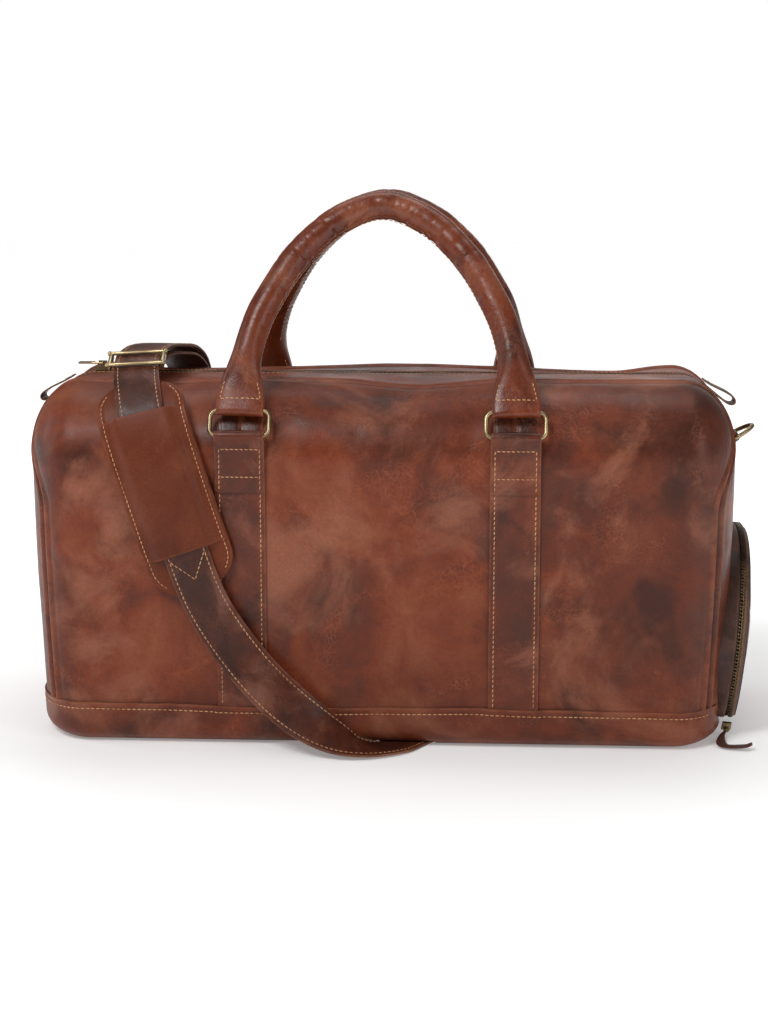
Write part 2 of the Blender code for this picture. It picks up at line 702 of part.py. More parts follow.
def make_pouch():
    """The cloth pocket behind the door, open towards the end of the bag."""
    high = HALF_LENGTH - END_TAPER - LINING_INSET - LINING_WALL - 0.010
    floor = LINING_INSET + LINING_WALL + BOARD_CLEARANCE + BOARD_SIZE[2] + 0.006
    low_corner = Vector((high - POUCH_DEPTH, -POUCH_WIDTH / 2, floor))
    high_corner = Vector((high, POUCH_WIDTH / 2, floor + POUCH_HEIGHT))
    pouch = add_object("shoe_pouch", box(low_corner, high_corner), "cloth")
    wall = Vector((POUCH_WALL,) * 3)
    reach = Vector((0.02, 0, 0))
    boolean(pouch, add_cutter("pouch_hollow", box(low_corner + wall, high_corner - wall + reach)))


# ---------------------------------------------------------------- zip sliders and pulls
def slider_body(length, width, height):
    """A slider in its own place: +X along the zip, +Z away from it, base on z = 0."""
    plate = [(-length / 2, 0), (length / 2, 0), (length / 2, height * 0.55), (length * 0.3, height),
             (-length * 0.3, height), (-length / 2, height * 0.55)]
    body = prism_along_y(plate, -width / 2, width / 2)
    return body


def eyelet(centre, radius, wire, axis):
    """A small flat ring about an axis, as a mesh."""
    turn = Vector(axis).to_track_quat("Z", "Y").to_matrix()
    points = [Vector(centre) + turn @ Vector((radius * math.cos(a), radius * math.sin(a), 0))
              for a in (2 * math.pi * k / 14 for k in range(14))]
    return wire_mesh(points, wire, True, 6)


SLIDER_X = -0.250
SLIDER_BASE = BAG_HEIGHT + 0.0004
BAIL_HEIGHT = SLIDER_HEIGHT + 0.0019


def make_main_slider():
    """The closed end of the main zip is at the left; the slider's bail holds the pull."""
    place = Matrix.Translation((SLIDER_X, 0, SLIDER_BASE))
    body = slider_body(SLIDER_LENGTH, SLIDER_WIDTH, SLIDER_HEIGHT)
    bail = box((-0.0038, -0.0011, SLIDER_HEIGHT * 0.5), (0.0038, 0.0011, SLIDER_HEIGHT + 0.0038))
    for bm in (body, bail):
        bm.transform(place)
    slider = united("main_zip_slider", [body, bail], "brass", place.translation)
    hole_y = SLIDER_WIDTH
    axis = [(SLIDER_X, s * hole_y, SLIDER_BASE + BAIL_HEIGHT) for s in (-1, 1)]
    boolean(slider, add_cutter("main_zip_slider_hole", cylinder(*axis, 0.0012, 10)))
    make_pull("main_zip_pull", Vector((SLIDER_X, 0, SLIDER_BASE + BAIL_HEIGHT)), Vector((-1, 0, 0)))


def make_pull(name, pivot, along):
    """A bar through the bail with two side wires and a flat tag."""
    across = Vector((0, 1, 0))
    half, wire = 0.0050, 0.0009
    reach = SLIDER_LENGTH / 2 + 0.002
    frame = [pivot - across * half, pivot + across * half, pivot + across * half + along * reach,
             pivot - across * half + along * reach]
    ring = wire_mesh(frame, wire, True, 6)
    up = along.cross(across)
    corners = [(-half * 0.8, -0.0008), (half * 0.8, -0.0008), (half * 0.8, 0.0008), (-half * 0.8, 0.0008)]
    tag = loft([[pivot + along * r + across * u + up * v for u, v in corners]
                for r in (reach - 0.0004, PULL_LENGTH)])
    united(name, [ring, tag], "brass", pivot)


def make_shoe_slider():
    """The shoe zip is closed with its slider just below the front corner of the door."""
    angle = math.radians(180 + DOOR_HALF_ANGLE + 6.0)
    radial = Vector((0, math.cos(angle), math.sin(angle)))
    along = Vector((0, -math.sin(angle), math.cos(angle)))
    out_x = DOOR_ZIP_START + DOOR_ZIP
    centre = Vector((out_x, 0, 0)) + radial * (DOOR_RADIUS + 0.0005)
    turn = Matrix((along, Vector((1, 0, 0)), radial)).transposed().to_4x4()
    place = DOOR_FRAME @ Matrix.Translation(centre) @ turn
    body = slider_body(0.010, 0.0076, 0.0036)
    knob = cylinder((0, 0, 0.003), (0, 0, 0.0064), 0.0024, 10)
    for bm in (body, knob):
        bm.transform(place)
    united("shoe_zip_slider", [body, knob], "brass", DOOR_AXIS_POINT)
    return place @ Vector((0, 0, 0.0064 + GAP))


def make_shoe_pull(start):
    """A leather thong from the slider, which lies on the floor and curls outwards."""
    route = catmull([start + Vector((-0.001, -0.0022, 0.0004)), start + Vector((-0.005, -0.0120, -0.0010)),
                     start + Vector((-0.007, -0.0260, -0.0030)), start + Vector((-0.003, -0.0350, -0.0032)),
                     start + Vector((0.011, -0.0385, -0.0024))], 4)
    loops = []
    for i, place in enumerate(route):
        along = (route[min(i + 1, len(route) - 1)] - route[max(i - 1, 0)]).normalized()
        side = along.cross(Vector((0, 0, 1))).normalized()
        up = side.cross(along)
        half = 0.0016 + 0.0030 * min(1.0, i / 6)
        loops.append([place + side * u + up * v
                      for u, v in ((-half, -0.0010), (half, -0.0010), (half, 0.0010), (-half, 0.0010))])
    add_object("shoe_zip_pull", loft(loops), "dark_leather", start)


# ---------------------------------------------------------------- shoulder strap
# Chosen by hand for a bag 598 x 250 x 303 mm and a strap 38 mm wide, from the hook on the floor to the hook
# behind the bag: each row is a place on the underside of the strap and the way its upper face looks.
STRAP_ROUTE = [
    ((0.1825, 0.1690, 0.0004), (0.00, 0.00, 1.00)),
    ((0.1630, 0.1352, 0.0004), (0.00, 0.00, 1.00)),
    ((0.0870, 0.0000, 0.0004), (0.00, 0.00, 1.00)),
    ((0.0250, -0.1100, 0.0004), (0.00, 0.00, 1.00)),
    ((0.0095, -0.1335, 0.0012), (0.00, 0.00, 1.00)),
    ((-0.0150, -0.1470, 0.0064), (0.00, -0.20, 0.98)),
    ((-0.0430, -0.1490, 0.0198), (0.00, -0.60, 0.80)),
    ((-0.0720, -0.1465, 0.0400), (0.00, -0.88, 0.48)),
    ((-0.0990, -0.1420, 0.0655), (0.00, -0.98, 0.20)),
    ((-0.1240, -0.1390, 0.0970), (0.00, -1.00, 0.05)),
    ((-0.1430, -0.1378, 0.1290), (0.00, -1.00, 0.00)),
    ((-0.1590, -0.1378, 0.1720), (0.00, -1.00, 0.00)),
    ((-0.1720, -0.1378, 0.2120), (0.00, -1.00, 0.00)),
    ((-0.1850, -0.1355, 0.2520), (0.00, -0.99, 0.12)),
    ((-0.1940, -0.1270, 0.2800), (0.00, -0.92, 0.39)),
    ((-0.1995, -0.1120, 0.3000), (-0.05, -0.75, 0.66)),
    ((-0.2030, -0.0960, 0.3125), (-0.05, -0.60, 0.80)),
    ((-0.2040, -0.0850, 0.3190), (-0.05, -0.50, 0.86)),
    ((-0.2035, -0.0730, 0.3240), (-0.04, -0.36, 0.93)),
    ((-0.2000, -0.0400, 0.3275), (-0.02, -0.05, 1.00)),
    ((-0.1950, 0.0100, 0.3240), (0.00, 0.12, 0.99)),
    ((-0.1915, 0.0600, 0.3165), (0.00, 0.30, 0.95)),
    ((-0.1890, 0.1050, 0.2980), (0.00, 0.62, 0.78)),
    ((-0.1880, 0.1340, 0.2600), (0.00, 0.95, 0.30)),
    ((-0.1880, 0.1410, 0.2200), (0.00, 1.00, 0.05)),
    ((-0.1880, 0.1420, 0.1800), (0.00, 1.00, 0.00)),
]
SLIDE_ROW = 17
ROUTE_STEPS = 4
FOLD_TAIL = 0.022
PAD_START = 0.024        # from the slide down the strap to the top of the pad


def smooth_route(rows, per_span):
    """(place, along, across, up) at each step of a strap's route."""
    places = catmull([row[0] for row in rows], per_span)
    ups = catmull([row[1] for row in rows], per_span)
    frames = []
    for i, place in enumerate(places):
        along = (places[min(i + 1, len(places) - 1)] - places[max(i - 1, 0)]).normalized()
        across = along.cross(ups[i]).normalized()
        frames.append((place, along, across, across.cross(along)))
    return frames


def route_lengths(frames):
    lengths = [0.0]
    for before, after in zip(frames, frames[1:]):
        lengths.append(lengths[-1] + (after[0] - before[0]).length)
    return lengths


def ribbon(frames, half_widths, low, high):
    """A band that follows the route, from low to high above it."""
    loops = []
    for (place, _, across, up), half in zip(frames, half_widths):
        corners = ((-half, low), (half, low), (half, high), (-half, high))
        loops.append([place + across * u + up * v for u, v in corners])
    return loft(loops)


def fold_frames(frames, steps=6):
    """Carries a route round the bar at its end and a little way back below itself."""
    place, along, across, up = frames[-1]
    radius = STRAP_SPACE / 2
    centre = place - up * radius
    turned = []
    for i in range(1, steps + 1):
        angle = math.pi * i / steps
        out = up * math.cos(angle) + along * math.sin(angle)
        turned.append((centre + out * radius, out.cross(across) * -1, across, out))
    last = turned[-1]
    tail = (last[0] - along * FOLD_TAIL, -along, across, -up)
    return frames + turned + [tail], centre


def bar_centre(frames):
    return fold_frames(frames)[1]


def turned_back(frames):
    """The same route, followed from its other end."""
    return [(place, -along, -across, up) for place, along, across, up in reversed(frames)]


def moved(frame, distance):
    return (frame[0] + frame[1] * distance, *frame[1:])


def lifted_end(frames):
    """The front run, raised at its far end so that the folded layer below it clears the floor."""
    lengths = route_lengths(frames)
    lifted = []
    for (place, along, across, up), length in zip(frames, lengths):
        share = max(0.0, 1 - (lengths[-1] - length) / 0.034)
        rise = (STRAP_SPACE + STRAP_THICK) * share * share * (3 - 2 * share)
        lifted.append((place + Vector((0, 0, rise)), along, across, up))
    return lifted


def fitted(place):
    """A place on the strap's route, moved with the faces, ends and top of a bag of another size."""
    x, y, z = place
    wider = (HALF_DEPTH - 0.125) * min(1.0, abs(y) / 0.08)
    if y < -0.12:
        wider += (STRAP_WIDTH - 0.038) / 2
    return x * HALF_LENGTH / 0.299, y + math.copysign(wider, y), z + (BAG_HEIGHT - 0.303) * min(1.0, z / 0.25)


STRAP_ROUTE = [(fitted(place), up) for place, up in STRAP_ROUTE]
STRAP_FRAMES = smooth_route(STRAP_ROUTE, ROUTE_STEPS)
SLIDE_STEP = SLIDE_ROW * ROUTE_STEPS
BACK_FRAMES = [moved(STRAP_FRAMES[SLIDE_STEP], GAP / 2)] + STRAP_FRAMES[SLIDE_STEP + 1:]
FRONT_FRAMES = turned_back(STRAP_FRAMES[:SLIDE_STEP] + [moved(STRAP_FRAMES[SLIDE_STEP], -GAP / 2)])


def strap_channel():
    """The shallow hollow that the strap presses into the bag's base."""
    start, end = Vector(STRAP_ROUTE[3][0]), Vector(STRAP_ROUTE[1][0])
    along = (end - start).normalized()
    across = Vector((0, 0, 1)).cross(along)
    half = STRAP_WIDTH / 2 + CHANNEL_CLEARANCE
    top = STRAP_THICK + 5 * GAP
    corners = ((-half, -0.01), (half, -0.01), (half, top), (-half, top))
    loops = [[place + across * u + Vector((0, 0, v)) for u, v in corners]
             for place in (start - along * 0.06, end + along * 0.06)]
    return add_cutter("strap_channel", loft(loops))


def make_strap():
    half = STRAP_WIDTH / 2
    front, _ = fold_frames(lifted_end(FRONT_FRAMES))
    add_object("strap_front_run", ribbon(front, [half] * len(front), 0, STRAP_THICK), "dark_leather")
    back, _ = fold_frames(BACK_FRAMES)
    add_object("strap_back_run", ribbon(back, [half] * len(back), 0, STRAP_THICK), "dark_leather")
    lengths = route_lengths(BACK_FRAMES)
    kept = [f for f, length in zip(BACK_FRAMES, lengths) if length < lengths[-1] - FOLD_TAIL - GAP]
    low = -STRAP_SPACE - STRAP_THICK
    add_object("strap_under_layer", ribbon(kept, [half] * len(kept), low, -STRAP_SPACE), "dark_leather")
    make_slide()
    make_pad()


def make_slide():
    """A three-bar slide: the strap runs under its outer bars and over its middle bar."""
    place, along, across, up = BACK_FRAMES[0]
    half = STRAP_WIDTH / 2
    wire = 0.0017
    above = STRAP_THICK + wire + 0.0007
    side = half + 0.0032

    def bar(offset, height):
        centre = place + along * offset + up * height
        return cylinder(centre - across * side, centre + across * side, wire, 10)

    def post(sign):
        centre = place + across * (sign * side) + up * (above - 0.0022)
        turn = Matrix((along, across, up)).transposed().to_4x4()
        bm = centred_box((0, 0, 0), (0.020, 0.0030, 0.0066))
        bm.transform(Matrix.Translation(centre) @ turn)
        return bm

    united("strap_slide", [post(-1), post(1), bar(-0.0085, above), bar(0.0085, above), bar(0, -wire - 0.0004)],
           "brass")


def pad_half_widths(lengths, start, length, width, corner):
    """Half width at each step of a pad with round corners."""
    halves = []
    for travelled in lengths:
        edge = min(travelled - start, start + length - travelled)
        inset = max(0.0, corner - edge)
        halves.append(width / 2 - corner + math.sqrt(max(0.0, corner * corner - inset * inset)))
    return halves


def make_pad():
    lengths = route_lengths(FRONT_FRAMES)
    end = PAD_START + PAD_LENGTH
    base = [(f, s) for f, s in zip(FRONT_FRAMES, lengths) if PAD_START <= s <= end]
    first, last = base[0][1], base[-1][1]
    halves = pad_half_widths([s for _, s in base], first, last - first, PAD_WIDTH, PAD_ROUND)
    add_object("pad_base", ribbon([f for f, _ in base], halves, -PAD_THICK - PAD_CLEARANCE, -PAD_CLEARANCE), "pad_leather")
    start = PAD_START + (PAD_LENGTH - SLEEVE_LENGTH) / 2
    sleeve = [f for f, s in zip(FRONT_FRAMES, lengths) if start <= s <= start + SLEEVE_LENGTH]
    low = STRAP_THICK + PAD_CLEARANCE
    add_object("pad_sleeve", ribbon(sleeve, [SLEEVE_WIDTH / 2] * len(sleeve), low, low + 0.0024), "pad_leather")


# ---------------------------------------------------------------- snap hooks
def make_hook(name, place):
    """A swivel snap hook. In its own place the strap's bar is along X at the origin and it hangs down -Z."""
    flat = rounded_rectangle(STRAP_WIDTH / 2 + EYE_CORNER, EYE_HEIGHT / 2, EYE_CORNER)
    eye = wire_mesh([(u, 0, v - EYE_HEIGHT / 2) for u, v in flat], EYE_WIRE, True)
    collar_top = -EYE_HEIGHT + 0.001
    collar_low = collar_top - COLLAR_LENGTH
    collar = cylinder((0, 0, collar_top), (0, 0, collar_low), COLLAR_RADIUS, 14)
    for bm in (eye, collar):
        bm.transform(place)
    eye_part = united(f"{name}_eye", [eye, collar], "brass")
    bore = cylinder((0, 0, collar_low - 0.001), (0, 0, collar_low + 0.0045), PIN_RADIUS + PIN_CLEARANCE, 14)
    bore.transform(place)
    boolean(eye_part, add_cutter(f"{name}_bore", bore))
    top = collar_low - 0.0004
    block_low = top - 0.008
    pin = cylinder((0, 0, block_low + 0.001), (0, 0, collar_low + 0.0040), PIN_RADIUS, 14)
    block_outline = [(-HOOK_HALF - HOOK_WIRE, block_low), (HOOK_HALF + HOOK_WIRE, block_low),
                     (HOOK_HALF, block_low + 0.005), (COLLAR_RADIUS, top), (-COLLAR_RADIUS, top),
                     (-HOOK_HALF, block_low + 0.005)]
    block = prism_along_y(block_outline, -0.0038, 0.0038)
    bend = block_low - 0.019
    turn = [(HOOK_HALF * math.cos(math.radians(a)), bend + HOOK_HALF * math.sin(math.radians(a)))
            for a in range(180, 361, 30)]
    tip = block_low - 0.0135
    line = [(-HOOK_HALF, block_low + 0.001)] + turn + [(HOOK_HALF, tip)]
    hook = wire_mesh([(u, 0, v) for u, v in line], HOOK_WIRE, False)
    for bm in (pin, block, hook):
        bm.transform(place)
    origin = place @ Vector((0, 0, block_low))
    united(f"{name}_body", [block, pin, hook], "brass", origin)
    pivot = Vector((HOOK_HALF, 0, block_low - 0.0031))
    gate = cylinder(pivot + Vector((0, 0, 0.0026)), (HOOK_HALF, 0, tip + 0.0005), 0.0021, 10)
    gate.transform(place)
    add_object(f"{name}_gate", gate, "brass", place @ pivot)


def hook_place(frames):
    """Where the bar of a hook lies inside the fold at the end of a strap."""
    _, along, across, up = frames[-1]
    turn = Matrix((across, up, -along)).transposed()
    if turn.determinant() < 0:
        turn = Matrix((-across, up, -along)).transposed()
    return Matrix.Translation(bar_centre(frames)) @ turn.to_4x4()


make_body()
make_mouth()
make_inside()
make_bands()
make_rings()
make_handles()
make_end_rings()
make_zip_tabs()
make_shoe_compartment()
make_main_slider()
make_shoe_pull(make_shoe_slider())
make_strap()
make_hook("back_hook", hook_place(BACK_FRAMES))
make_hook("floor_hook", hook_place(lifted_end(FRONT_FRAMES)))
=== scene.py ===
"""Looks of the leather duffel bag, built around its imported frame.

Metres, the frame's own places: +X to the right end, the front faces -Y, +Z up, floor at z = 0.
"""

import json
import math
import random

import bmesh
import bpy
from mathutils import Matrix, Vector, noise

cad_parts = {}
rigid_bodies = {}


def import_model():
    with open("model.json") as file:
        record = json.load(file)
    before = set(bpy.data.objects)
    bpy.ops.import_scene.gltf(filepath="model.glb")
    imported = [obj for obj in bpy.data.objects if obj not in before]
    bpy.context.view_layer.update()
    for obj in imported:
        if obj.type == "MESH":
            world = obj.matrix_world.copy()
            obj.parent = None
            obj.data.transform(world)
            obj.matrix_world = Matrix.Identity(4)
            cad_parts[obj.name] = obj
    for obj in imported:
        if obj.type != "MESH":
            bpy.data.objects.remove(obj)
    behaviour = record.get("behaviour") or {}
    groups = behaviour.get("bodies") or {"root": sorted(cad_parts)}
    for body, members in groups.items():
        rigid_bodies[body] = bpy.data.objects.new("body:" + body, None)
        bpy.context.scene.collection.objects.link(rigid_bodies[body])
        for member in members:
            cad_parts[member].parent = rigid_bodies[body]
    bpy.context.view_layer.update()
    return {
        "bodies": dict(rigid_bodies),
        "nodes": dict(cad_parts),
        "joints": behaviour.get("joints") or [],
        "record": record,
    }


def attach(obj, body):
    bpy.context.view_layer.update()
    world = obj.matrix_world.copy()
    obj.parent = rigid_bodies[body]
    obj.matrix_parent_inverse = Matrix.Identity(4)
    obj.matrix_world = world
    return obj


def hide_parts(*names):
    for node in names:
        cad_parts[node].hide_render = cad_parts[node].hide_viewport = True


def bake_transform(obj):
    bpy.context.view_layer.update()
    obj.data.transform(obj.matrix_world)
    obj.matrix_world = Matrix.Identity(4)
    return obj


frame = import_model()

# ---------------------------------------------------------------- sizes repeated from the CAD
HALF_LENGTH = 0.299
HEIGHT = 0.303
CORE_X, CORE_Y = 0.254, 0.058        # where the rounded corners begin
SIDE_X, SIDE_Y, TOP_ROUND = 0.045, 0.067, 0.063
SHOULDER = 0.240
BASE_ROUND = 0.016
BASE_WRAP = 0.034
SEAM_Y = 0.110
MOUTH = 0.150
ZIP_HALF = 0.0048                    # half the width of the closed zip
ZIP_END = 0.274
HANDLE_SPACING = 0.227
BAND_X = HANDLE_SPACING / 2
BAND_HALF = 0.021
WIRE = 0.0019
RING_AXIS = (0.130, 0.264)           # distance out and height of the lower bars of the handle rings
RING_HEIGHT = 0.022
RING_HALF = 0.0245
RING_LEAN = math.radians(25)
HANDLE_RISE = 0.1845
HANDLE_LEAN = math.radians(26.6)
GRIP = 0.012
LOOP = 0.0047                        # radius of the leather folded round a ring's bar
TAB_LENGTH = 0.052
DOOR_RADIUS, DOOR_HEIGHT = 0.098, 0.074   # the arch of the shoe compartment and the height of its centre
FLAP = 0.07                          # the distance from each outer end of a lip's half to the inner place of its blend

FACES = (("front", -1), ("back", 1))
BANDS = (("left", -BAND_X), ("right", BAND_X))
QUARTERS = ((1, 1, 0), (-1, 1, 90), (-1, -1, 180), (1, -1, 270))   # signs of x and y, first angle
RIGHT, BACK, UP = Vector((1, 0, 0)), Vector((0, 1, 0)), Vector((0, 0, 1))
RANDOM = random.Random(11)


def smooth(value):
    value = min(1.0, max(0.0, value))
    return value * value * (3 - 2 * value)


def bump(distance, width):
    return math.exp(-(distance / width) ** 2)


def rough(place, scale, seed=0.0):
    """Smooth noise from -1 to 1."""
    return noise.noise(Vector(place) * scale + Vector((seed, seed * 0.7, -seed)))


def creased(place, scale, seed=0.0, width=0.06):
    """Thin sharp folds: 1 on a crease line and 0 away from it."""
    warp = Vector((rough(place, scale * 0.7, seed + 3), rough(place, scale * 0.7, seed + 9), 0))
    value = abs(noise.noise((Vector(place) + warp * (0.6 / scale)) * scale + Vector((seed, seed, seed))))
    return math.exp(-(value / width) ** 2)


# ---------------------------------------------------------------- camera, floor and lights
def make_camera():
    camera = bpy.data.cameras.new("camera")
    camera.lens = 70.3
    camera.sensor_fit = "VERTICAL"
    camera.sensor_height = 36.0
    camera.sensor_width = 27.0
    obj = bpy.data.objects.new("camera", camera)
    yaw, pitch = math.radians(-3.16), math.radians(10.37)
    level = Vector((math.sin(yaw), math.cos(yaw), 0))
    forward = level * math.cos(pitch) - UP * math.sin(pitch)
    obj.location = (0.095, -1.745, 0.498)
    obj.rotation_euler = forward.to_track_quat("-Z", "Y").to_euler()
    bpy.context.scene.collection.objects.link(obj)
    bpy.context.scene.camera = obj


def area_light(name, place, target_height, size, power):
    light = bpy.data.lights.new(name, "AREA")
    light.shape = "RECTANGLE"
    light.size, light.size_y = size
    light.energy = power
    obj = bpy.data.objects.new(name, light)
    obj.location = place
    obj.rotation_euler = (UP * target_height - Vector(place)).to_track_quat("-Z", "Y").to_euler()
    bpy.context.scene.collection.objects.link(obj)


def make_light():
    world = bpy.data.worlds.new("studio")
    bpy.context.scene.world = world
    world.use_nodes = True
    tree = world.node_tree
    seen = node(tree, "ShaderNodeLightPath").outputs["Is Camera Ray"]
    background = tree.nodes["Background"]
    background.inputs["Color"].default_value = (1, 1, 1, 1)
    strength = node(tree, "ShaderNodeMapRange", [("Value", seen), ("To Min", 0.16), ("To Max", 1.0)])
    tree.links.new(strength.outputs["Result"], background.inputs["Strength"])
    area_light("key", (-0.9, -1.5, 1.9), 0.15, (0.8, 0.8), 32)
    area_light("fill", (1.7, -1.4, 0.9), 0.15, (0.7, 1.4), 11)
    area_light("top", (0.1, 0.5, 2.0), 0.2, (1.8, 0.8), 13)
    area_light("back", (0.4, 2.2, 1.0), 0.2, (1.8, 1.2), 6)
    area_light("left", (-2.0, 0.1, 0.8), 0.2, (0.9, 1.2), 9)
    bpy.context.scene.view_settings.view_transform = "Standard"


def make_floor():
    """A pale floor that glows, more brightly away from the bag, so that it fades into the white surroundings: painted
    light, which also lights the bag from below.
    """
    bm = bmesh.new()
    bmesh.ops.create_grid(bm, x_segments=2, y_segments=2, size=9.0)
    mesh = bpy.data.meshes.new("floor")
    bm.to_mesh(mesh)
    bm.free()
    floor = bpy.data.objects.new("floor", mesh)
    bpy.context.scene.collection.objects.link(floor)
    floor.location.z = -0.0002
    made, tree, shader = new_material("glowing_pale_floor")
    shader.inputs["Base Color"].default_value = (0.86, 0.86, 0.86, 1)
    shader.inputs["Roughness"].default_value = 0.75
    away = node(tree, "ShaderNodeVectorMath", [(0, node(tree, "ShaderNodeTexCoord").outputs["Object"])],
                operation="LENGTH").outputs["Value"]
    # painted light: the floor's glow rises from 0.22 near the bag to 0.85 farther out
    tree.links.new(shares(tree, away, 0.25, 1.0, 0.22, 0.85), shader.inputs["Emission Strength"])
    shader.inputs["Emission Color"].default_value = (1, 1, 1, 1)
    mesh.materials.append(made)


# ---------------------------------------------------------------- materials
def new_material(name):
    made = bpy.data.materials.new(name)
    made.use_nodes = True
    tree = made.node_tree
    return made, tree, tree.nodes["Principled BSDF"]


def node(tree, kind, inputs=(), **settings):
    """Adds a node. inputs is a list of (socket, value or other node's output)."""
    made = tree.nodes.new(kind)
    for key, value in settings.items():
        setattr(made, key, value)
    for key, value in inputs:
        if isinstance(value, bpy.types.NodeSocket):
            tree.links.new(value, made.inputs[key])
        else:
            made.inputs[key].default_value = value
    return made


def ramp(tree, value, stops):
    made = node(tree, "ShaderNodeValToRGB", [("Fac", value)])
    elements = made.color_ramp.elements
    while len(elements) < len(stops):
        elements.new(0.5)
    for element, (place, colour) in zip(elements, stops):
        element.position = place
        element.color = (*colour, 1) if len(colour) == 3 else colour
    return made.outputs["Color"]


def noise_of(tree, place, scale, detail=4.0, roughness=0.6, distortion=0.0):
    made = node(tree, "ShaderNodeTexNoise", [("Vector", place), ("Scale", scale), ("Detail", detail),
                                             ("Roughness", roughness), ("Distortion", distortion)])
    return made.outputs["Fac"]


def mixed(tree, share, first, second, blend="MIX"):
    made = node(tree, "ShaderNodeMix", data_type="RGBA", blend_type=blend)
    for index, value in ((0, share), (6, first), (7, second)):
        if isinstance(value, bpy.types.NodeSocket):
            tree.links.new(value, made.inputs[index])
        elif index:
            made.inputs[index].default_value = (*value, 1)
        else:
            made.inputs[index].default_value = value
    return made.outputs[2]


def maths(tree, operation, first, second=0.0):
    made = node(tree, "ShaderNodeMath", operation=operation)
    for index, value in enumerate((first, second)):
        if isinstance(value, bpy.types.NodeSocket):
            tree.links.new(value, made.inputs[index])
        else:
            made.inputs[index].default_value = value
    return made.outputs[0]


def shares(tree, value, low, high, to_low=0.0, to_high=1.0):
    """Takes a value between low and high smoothly to a value between to_low and to_high."""
    made = node(tree, "ShaderNodeMapRange", [("Value", value), ("From Min", low), ("From Max", high),
                                             ("To Min", to_low), ("To Max", to_high)],
                interpolation_type="SMOOTHSTEP")
    return made.outputs["Result"]


def speckled(tree, share, colour, pattern, low, high):
    """Lightens and darkens a colour by a fine pattern. low and high are (place, grey) stops."""
    stops = [(place, (value, value, value)) for place, value in (low, high)]
    return mixed(tree, share, colour, ramp(tree, pattern, stops), "OVERLAY")


def cells(tree, place, scale):
    """Distance to the edges of irregular cells."""
    return node(tree, "ShaderNodeTexVoronoi", [("Vector", place), ("Scale", scale)],
                feature="DISTANCE_TO_EDGE").outputs["Distance"]


def finish_shader(tree, shader, colour, roughness, height, strength, distance):
    tree.links.new(colour, shader.inputs["Base Color"])
    tree.links.new(roughness, shader.inputs["Roughness"])
    relief = node(tree, "ShaderNodeBump", [("Height", height), ("Strength", strength), ("Distance", distance)])
    tree.links.new(relief.outputs["Normal"], shader.inputs["Normal"])


def object_place(tree, shift=0.0, stretch=(1, 1, 1)):
    place = node(tree, "ShaderNodeTexCoord").outputs["Object"]
    made = node(tree, "ShaderNodeMapping", [("Vector", place), ("Location", (shift, shift * 0.37, -shift)),
                                            ("Scale", stretch)])
    return made.outputs["Vector"]


